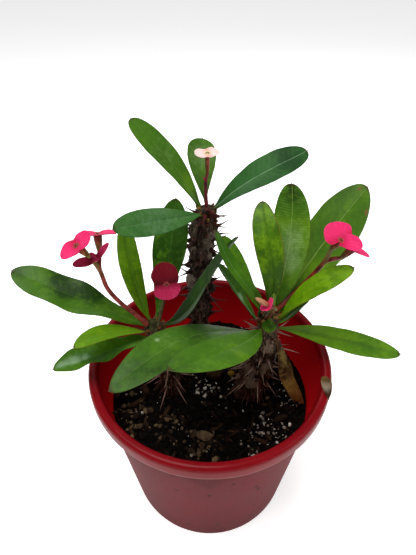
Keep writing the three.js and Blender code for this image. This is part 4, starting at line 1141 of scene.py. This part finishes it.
# Adds short curves where a profile turns: each corner is replaced by points of a parabola between its
# neighbours
def rounded(profile, radii, steps=5):
    made = [np.array(profile[:1], float)]
    for before, corner, after, radius in zip(profile, profile[1:], profile[2:], radii):
        before, corner, after = (np.array(p, float) for p in (before, corner, after))
        a, b = before - corner, after - corner
        first = corner + a * min(0.45, radius / np.linalg.norm(a))
        last = corner + b * min(0.45, radius / np.linalg.norm(b))
        u = np.linspace(0, 1, steps)[:, None]
        made.append((1 - u) ** 2 * first + 2 * u * (1 - u) * corner + u ** 2 * last)
    return np.vstack([*made, np.array(profile[-1:], float)])


# Pot plastic: deep glossy red. The body outside is dulled by a film of dust, with faint upright streaks,
# fine scratches and small dark pits. Towards the base the film thins and the red darkens, which is painted
# shade, and under the rim in front a darker V is a painted reflection. The rim and the inside stay clean;
# the inside is painted a brighter red and given a faint red emission, painted light that stands for the
# light that comes through the wall
def potFinish():
    f = Finish("pot_plastic")
    outside, inside, low, vee = f.marks("outside", "inside", "low", "vee")
    broad, fine = f.noise(24, 3, 0.6), f.noise(2.2, 4, 0.65)
    streak = f.noise(4, 3, 0.6, (1, 1, 0.05))
    scratch = f.noise(0.9, 2, 0.5, (1, 1, 0.06), 0.4)
    pit = f.cells(11, (1, 1, 0.7)).step(0.15, 0.1) * fine.step(0.36, 0.5)
    base = f.coats(
        potLook["main"],
        (broad.step(0.3, 0.75) * 0.5, potLook["cloud"]),
        # painted light: the inside is a brighter red than the outside, for the light that comes through the
        # wall
        (inside, potLook["inside"]),
        # painted shade: towards the base the low mark thins the film here and lays on the darker low red
        # below
        (outside * (0.66 + (broad - 0.5) * 0.4 + (streak - 0.5) * 0.35 - low * 0.6), potLook["film"]),
        # painted reflection: a darker V under the rim in front
        (vee * 0.5, potLook["vee"]),
        (low * outside * 0.65, potLook["low"]),
        (pit * outside * 0.85, potLook["pit"]),
        (scratch.step(0.62, 0.8) * outside * 0.2, potLook["scratch"]))
    rough = 0.32 + outside * 0.2 + fine * 0.1 + scratch.step(0.6, 0.8) * 0.05
    f.link(0.16 - outside * 0.16, "Coat Weight")
    # painted light: a faint red emission on the inside, which is no lamp, for the light through the wall
    f.link(f.mix(inside, "000000", potLook["glow"]), "Emission Color")
    return f.paint(base, rough, fine * 0.4 + streak * outside * 0.3 - pit * outside, 0.08,
                   Specular_IOR_Level=0.05, Coat_Roughness=0.2, Coat_IOR=1.35, Emission_Strength=0.6)


# The shell turns a profile about the upright axis. Each quarter of the floor is a sheet between its drain
# hole and its edge: round the quarter's edge one way, and through the hole from the lower face to the upper
# one the other way. The sheets share their edges, which are merged
def addPot():
    top, lipFoot, roof = pot["height"], pot["height"] - pot["lip"], pot["height"] - pot["roof"]
    inner = potRadius(roof) - pot["wall"]
    floorTop = potRadius(pot["floor"]) - pot["wall"]
    profile = [
        (pot["base"] - 1, 0), (pot["base"], 1), (potRadius(lipFoot), lipFoot), (potRadius(roof), roof),
        (pot["rim"] - pot["wall"], roof), (pot["rim"] - pot["wall"], lipFoot), (pot["rim"] - 0.2, lipFoot),
        (pot["rim"], lipFoot + 1), (pot["rim"], top - 2), (pot["rim"] - 1, top - 0.4),
        (pot["rim"] - 2.6, top), (inner + 1.2, top - 0.5), (inner, roof), (floorTop, pot["floor"])]
    radii = [0.5, 0.8, 0.6, 0.6, 0.25, 0.25, 0.8, 1.6, 1.2, 1.2, 1.0, 1.2]
    line = rounded(profile, radii)
    long = np.linspace(0, 1, 40)[1:-1, None]
    wallEnd = int(np.argmax(line[:, 1] > lipFoot - 2))
    foot, head = line[wallEnd - 1], line[wallEnd]
    line = np.vstack([line[:wallEnd], foot + (head - foot) * long, line[wallEnd:]])
    count, quarter = pot["steps"], pot["steps"] // 4
    angle = around(count)
    radial = np.stack([np.cos(angle), np.sin(angle), 0 * angle], -1)
    bare = np.arange(len(line)) <= int(np.argmax(line[:, 1] > roof - 1))
    sheets = [(line[:, None, :1] * radial + line[:, None, 1:] * np.array([0, 0, 1]), bare[:, None])]
    for k in range(4):
        arc = radial[(np.arange(quarter + 1) + k * quarter) % count]
        inwards = np.linspace(1, 0, 25)[1:, None] * arc[-1]
        outwards = np.linspace(0, 1, 25)[1:-1, None] * arc[0]
        edge = np.vstack([arc, inwards, outwards])
        hole = unit(arc[0] + arc[-1]) * pot["drainCircle"]
        lower, upper = edge * (pot["base"] - 1), edge * floorTop + [0, 0, pot["floor"]]
        away = unit(edge * pot["base"] - hole) * pot["drain"]
        sheets.append((np.stack([lower, hole + away, hole + away + [0, 0, pot["floor"]], upper]), False))
    points, faces, marks, start = [], [], [], 0
    for grid, outside in sheets:
        rows, columns = grid.shape[:2]
        faces.append(tubeFaces(rows, columns, start))
        points.append(grid.reshape(-1, 3))
        marks.append(np.broadcast_to(outside, (rows, columns)).ravel())
        start += rows * columns
    data = bpy.data.meshes.new("pot_shell")
    points, outside = np.vstack(points), np.concatenate(marks)
    data.from_pydata((points * mm).tolist(), [], np.vstack(faces).tolist())
    data.polygons.foreach_set("use_smooth", np.ones(len(data.polygons), bool))
    x, y, z = points.T
    inside = np.clip((roof - z) / 6, 0, 1) * (np.hypot(x, y) < potRadius(z) - pot["wall"] / 2)
    # The darker V under the rim in front is a painted reflection, narrowing downwards
    halfAngle, softEdge, depth = pot["vee"]
    below = (lipFoot - z) / depth
    front = halfAngle * (1 - below) - np.abs(np.arctan2(x, -y))
    vee = np.clip(front / softEdge, 0, 1) * np.clip(below * 8, 0, 1) * outside
    # low: 1 at the base, 0 from lowReach up, for the painted shade towards the base
    low = np.clip(1 - z / pot["lowReach"], 0, 1)
    addMarks(data, {"outside": outside, "inside": inside, "low": low, "vee": vee})
    merged = bmesh.new()
    merged.from_mesh(data)
    bmesh.ops.remove_doubles(merged, verts=merged.verts, dist=1e-6)
    bmesh.ops.recalc_face_normals(merged, faces=merged.faces)
    merged.to_mesh(data)
    merged.free()
    data.materials.append(potFinish())
    addPiece("pot_shell", data, ["pot"])


addPot()
print("pot made")


# Soil

# Height of the soil's top, as the solid has it: a broad crossed wave and a finer one that runs aslant
def soilHeight(x, y):
    broad = np.sin(x * 0.11 + 1.3) * np.cos(y * 0.13 - 0.4)
    fine = np.sin(x * 0.41 + y * 0.23) * np.cos(y * 0.37 - x * 0.19)
    return soil["level"] + soil["relief"] * (0.6 * broad + 0.4 * fine)


# The unevenness on top of that: bumps of three sizes
def soilLumps(place):
    return bumps(place, 6, 3) * 0.8 + bumps(place, 2.6, 4) * 0.75 + np.abs(bumps(place, 1.3, 5)) * 0.6


# Crumbs are lighter or darker by a mark that each carries, along a row of colours
def crumbFinish(name, stops, rough):
    f = Finish(name)
    tint, = f.marks("tint")
    fine = f.noise(0.8, 3, 0.7)
    where = tint * 0.85 + (fine - 0.5) * 0.35 + 0.05
    stops = [(at, colour(shade)) for at, shade in stops.items()]
    base = f.node("ShaderNodeValToRGB", {"stops": stops}, {"Fac": where})
    return f.paint(base, fine * 0.1 + rough, fine, 0.25, Specular_IOR_Level=0.06)


# Each finish's name, its row of colours from the darkest crumb to the lightest, and its roughness
crumbLooks = {
    "peat": ("potting_soil", {0: "040302", 0.45: "090605", 0.8: "140e0a", 1: "2c2016"}, 0.88),
    "grit": ("white_grit", {0: "5a5348", 0.45: "948b7e", 0.85: "cbc6bc", 1: "efece6"}, 0.75),
    "chips": ("bark_chips", {0: "0a0705", 0.4: "1a110c", 0.8: "3a281a", 1: "5e472e"}, 0.82),
    "clod": ("clay_crumbs", {0: "221912", 0.5: "3f3224", 1: "6e5c42"}, 0.85),
    "pebble": ("pebble_stone", {0: "4a3414", 0.5: "7c5c20", 1: "a08440"}, 0.5),
}
for kind, look in crumbLooks.items():
    finishes[kind] = crumbFinish(*look)


# The soil is one closed skin: its top in rings from the middle out, then down the side and under
def addSoil():
    radius = np.linspace(0.3, soil["edge"], 170)[:, None]
    angle = around(340)[None, :]
    x, y = radius * np.cos(angle), radius * np.sin(angle)
    place = np.stack([x, y, soilHeight(x, y)], -1)
    lumps = soilLumps(place)
    place[..., 2] += lumps * np.clip((soil["edge"] - radius) / 3 + 0.3, 0, 1) - soil["sunk"]
    bottom = potRadius(soil["floor"]) - pot["wall"] - soil["sideGap"]
    low = np.stack([bottom * np.cos(angle), bottom * np.sin(angle), 0 * angle + soil["floor"]], -1)
    shape = Shape()
    shape.tube(np.concatenate([place, low]), tint=np.vstack([lumps * 0.25 + 0.25, 0 * angle + 0.3]))
    shape.build("soil_ground", [finishes["peat"]], ["soil"])


# Corners and faces of a twenty-sided ball of radius 1
def roundish():
    g = (1 + 5 ** 0.5) / 2
    corners = unit(np.array([
        (-1, g, 0), (1, g, 0), (-1, -g, 0), (1, -g, 0), (0, -1, g), (0, 1, g), (0, -1, -g), (0, 1, -g),
        (g, 0, -1), (g, 0, 1), (-g, 0, -1), (-g, 0, 1)]))
    faces = np.array([(0, 11, 5), (0, 5, 1), (0, 1, 7), (0, 7, 10), (0, 10, 11), (1, 5, 9), (5, 11, 4),
                      (11, 10, 2), (10, 7, 6), (7, 1, 8), (3, 9, 4), (3, 4, 2), (3, 2, 6), (3, 6, 8),
                      (3, 8, 9), (4, 9, 5), (2, 4, 11), (6, 2, 10), (8, 6, 7), (9, 8, 1)])
    return corners, faces


# Loose bits that are solids of their own: place, half sizes, turn, finish and slot, tint, and height of
# their small bumps as a share of their size
litter = {
    "bark_dark": {"at": (3.5, 10.4), "size": (6.5, 5, 3.2), "turn": 30, "look": "chips",
                  "slot": "bark_chips", "tint": 0.6, "crumbly": 0.05},
    "bark_tan": {"at": (-2.8, -33.6), "size": (5, 3.2, 1.8), "turn": -20, "look": "clod",
                 "slot": "bark_chips", "tint": 0.75, "crumbly": 0.2},
    "pebble": {"at": (14, 10.2), "size": (2.6, 2.2, 1.8), "turn": 10, "look": "pebble",
               "slot": "pebble_stone", "tint": 0.5, "crumbly": 0.02},
}

# Kinds of loose bits on the soil: how many; smallest and largest half size; share of it in length, width
# and height; how deep they sink; their finish and slot; their range of tints; and where they gather, as
# middle, reach and share of the bits
bits = {
    "soil_crumbs": {
        "count": 3200, "sizes": (0.4, 1.7), "form": (1.25, 1, 0.8), "sink": 0.4, "look": "peat",
        "slot": "potting_soil", "tints": (0.1, 1), "gather": []},
    "soil_chips": {
        "count": 420, "sizes": (0.9, 3.4), "form": (1.9, 0.6, 0.35), "sink": 0.3, "look": "chips",
        "slot": "bark_chips", "tints": (0, 0.85), "gather": [((-2, 50), 12, 0.15)]},
    "soil_clods": {
        "count": 130, "sizes": (0.7, 2.1), "form": (1.2, 1, 0.9), "sink": 0.35, "look": "clod",
        "slot": "bark_chips", "tints": (0, 1),
        "gather": [((-4, -38), 7, 0.3), ((-46, -20), 9, 0.3), ((-22, -26), 8, 0.25)]},
    "soil_grit": {
        "count": 260, "sizes": (0.35, 1.35), "form": (1.1, 1, 0.9), "sink": 0.4, "look": "grit",
        "slot": "pebble_stone", "tints": (0, 1),
        "gather": [((32, -30), 13, 0.45), ((0, 2), 9, 0.15), ((49, -8), 8, 0.12)]},
}


# What all bits share: their distances from the soil's edge, from a stem and from the larger litter; reach of
# a heap as a share; a power that makes most bits small; how much each size and each corner varies; and how
# flat they lie
bitUsual = {"edgeGap": 1.2, "stemGap": 0.8, "litterGap": -0.5, "heap": 0.6, "smaller": 2.2, "vary": 0.25,
            "rough": 0.22, "tilt": 0.35, "upright": 2.0}


# Many lumps at once: each is the ball scaled, turned and roughened in its own way, resting in the soil
def scatter(name, kind, seed):
    rng = np.random.default_rng(seed)
    corners, faces = roundish()
    tries = kind["count"] * 3
    angle = rng.uniform(0, 2 * np.pi, tries)
    within = soil["edge"] - bitUsual["edgeGap"]
    radius = within * np.sqrt(rng.uniform(0, 1, tries))
    spots = np.stack([radius * np.cos(angle), radius * np.sin(angle)], -1)
    group = rng.uniform(0, 1, tries)
    spread = rng.normal(0, 1, (tries, 2))
    start = 0.0
    for middle, reach, share in kind["gather"]:
        here = (group >= start) & (group < start + share)
        spots[here] = np.array(middle) + spread[here] * reach * bitUsual["heap"]
        start += share
    x, y = spots.T
    clear = np.hypot(x, y) < within
    for stem in stems.values():
        away = np.hypot(x - stem["foot"][0], y - stem["foot"][1])
        clear &= away > stem["footRadius"] + bitUsual["stemGap"]
    for piece in litter.values():
        away = np.hypot(x - piece["at"][0], y - piece["at"][1])
        clear &= away > piece["size"][0] + bitUsual["litterGap"]
    x, y = x[clear][:kind["count"]], y[clear][:kind["count"]]
    count = len(x)
    small, large = kind["sizes"]
    size = small + (large - small) * rng.uniform(0, 1, count) ** bitUsual["smaller"]
    vary = bitUsual["vary"]
    scale = size[:, None] * np.array(kind["form"]) * rng.uniform(1 - vary, 1 + vary, (count, 3))
    rough = 1 + bitUsual["rough"] * rng.uniform(-1, 1, (count, len(corners), 1))
    local = corners[None] * rough * scale[:, None]
    loose = rng.normal(0, 1, (count, 3, 3)) * [[[1], [1], [bitUsual["tilt"]]]]
    axes = np.linalg.qr(loose + np.eye(3) * [0, 0, bitUsual["upright"]])[0]
    local = np.einsum("nij,nkj->nki", axes, local)
    near = np.stack([x, y, soilHeight(x, y)], -1)
    lift = np.abs(local[..., 2]).max(1) * (1 - 2 * kind["sink"])
    rest = near[:, 2] + soilLumps(near) - soil["sunk"] + lift
    points = (local + np.stack([x, y, rest], -1)[:, None]).reshape(-1, 3)
    every = (faces[None] + np.arange(count)[:, None, None] * len(corners)).reshape(-1, 3)
    tint = np.repeat(rng.uniform(*kind["tints"], count), len(corners))
    shape = Shape()
    shape.add(points, [every], 0, {"tint": tint})
    shape.build(name, [finishes[kind["look"]]])


# A lump: an ellipsoid roughened by two sizes of bumps, lifted until it rests on the soil
def addLitter(name, piece):
    a = np.radians(piece["turn"])
    x = np.array([np.cos(a), np.sin(a), 0]) * piece["size"][0]
    y = np.array([-np.sin(a), np.cos(a), 0]) * piece["size"][1]
    middle = np.array([*piece["at"], 0.0])
    lump = ball(middle, x, y, np.array([0, 0, 1]) * piece["size"][2], 40, 56)
    rough = 1 + 0.14 * bumps(lump + 50, 2.8, 7) + piece["crumbly"] * bumps(lump + 50, 1.1, 8)
    lump = middle + (lump - middle) * rough[..., None] * 0.97
    lump[..., 2] += (soilHeight(lump[..., 0], lump[..., 1]) - lump[..., 2]).max() + 0.2
    shape = Shape()
    shape.tube(lump, tint=piece["tint"] + 0.25 * bumps(lump, 2, 9))
    shape.build(f"{name}_lump", [finishes[piece["look"]]], [name])


addSoil()
for name, piece in litter.items():
    addLitter(name, piece)
for seed, (name, kind) in enumerate(bits.items()):
    scatter(name, kind, seed + 5)
print("soil made")


# Stage, light and camera

# Sizes here are in metres. floor: half its side, and the light that it gives
studio = {
    "floor": (40, 0.55),
    "sky": 0.3,
    "lamps": {
        "topLamp": {"place": (-0.3, -0.1, 1.5), "target": (0, 0, 0.12), "width": 0.8, "watts": 17},
        "sideLamp": {"place": (0.9, -0.3, 0.9), "target": (0, 0, 0.12), "width": 0.6, "watts": 3},
        "backLamp": {"place": (-0.3, 1.1, 0.8), "target": (0, 0, 0.15), "width": 0.7, "watts": 4},
    },
    "camera": {"place": (-0.0011, -0.1601, 0.2989), "tilt": 51.6, "lens": 26.46, "sensor": 36,
               "near": 0.01},
}

half, glow = studio["floor"]
floorMesh = bpy.data.meshes.new("floor")
corners = [(-half, -half, 0), (half, -half, 0), (half, half, 0), (-half, half, 0)]
floorMesh.from_pydata(corners, [], [(0, 1, 2, 3)])
floor = bpy.data.objects.new("floor", floorMesh)
scene.collection.objects.link(floor)
paper = Finish("floor_paper")
tooth = paper.noise(3, 2)
floorMesh.materials.append(paper.paint(
    paper.mix(tooth, "f6f6f6", "f9f9f9"), tooth * 0.1 + 0.85, Specular_IOR_Level=0.1,
    Emission_Color=(1, 1, 1, 1), Emission_Strength=glow))

world = bpy.data.worlds.new("studio")
scene.world = world
world.use_nodes = True
background = next(n for n in world.node_tree.nodes if n.type == "BACKGROUND")
background.inputs["Color"].default_value = (1, 1, 1, 1)
background.inputs["Strength"].default_value = studio["sky"]


# Places a lamp and turns it so that it shines at its target
def aim(thing, place, target):
    away = np.array(place, float) - np.array(target, float)
    back = unit(away)
    right = unit(np.cross((0, 0, 1), back))
    up = np.cross(back, right)
    matrix = np.eye(4)
    matrix[:3, 0], matrix[:3, 1], matrix[:3, 2], matrix[:3, 3] = right, up, back, place
    thing.matrix_world = matrix.T.tolist()


for name, lamp in studio["lamps"].items():
    data = bpy.data.lights.new(name, "AREA")
    data.size, data.energy = lamp["width"], lamp["watts"]
    thing = bpy.data.objects.new(name, data)
    scene.collection.objects.link(thing)
    aim(thing, lamp["place"], lamp["target"])

view = studio["camera"]
cameraData = bpy.data.cameras.new("camera")
cameraData.lens, cameraData.sensor_width, cameraData.clip_start = view["lens"], view["sensor"], view["near"]
camera = bpy.data.objects.new("camera", cameraData)
camera.location = view["place"]
camera.rotation_euler = (np.radians(view["tilt"]), 0, 0)
scene.collection.objects.link(camera)
scene.camera = camera
scene.view_settings.view_transform = "Standard"
scene.view_settings.look = "None"

print("scene ready")
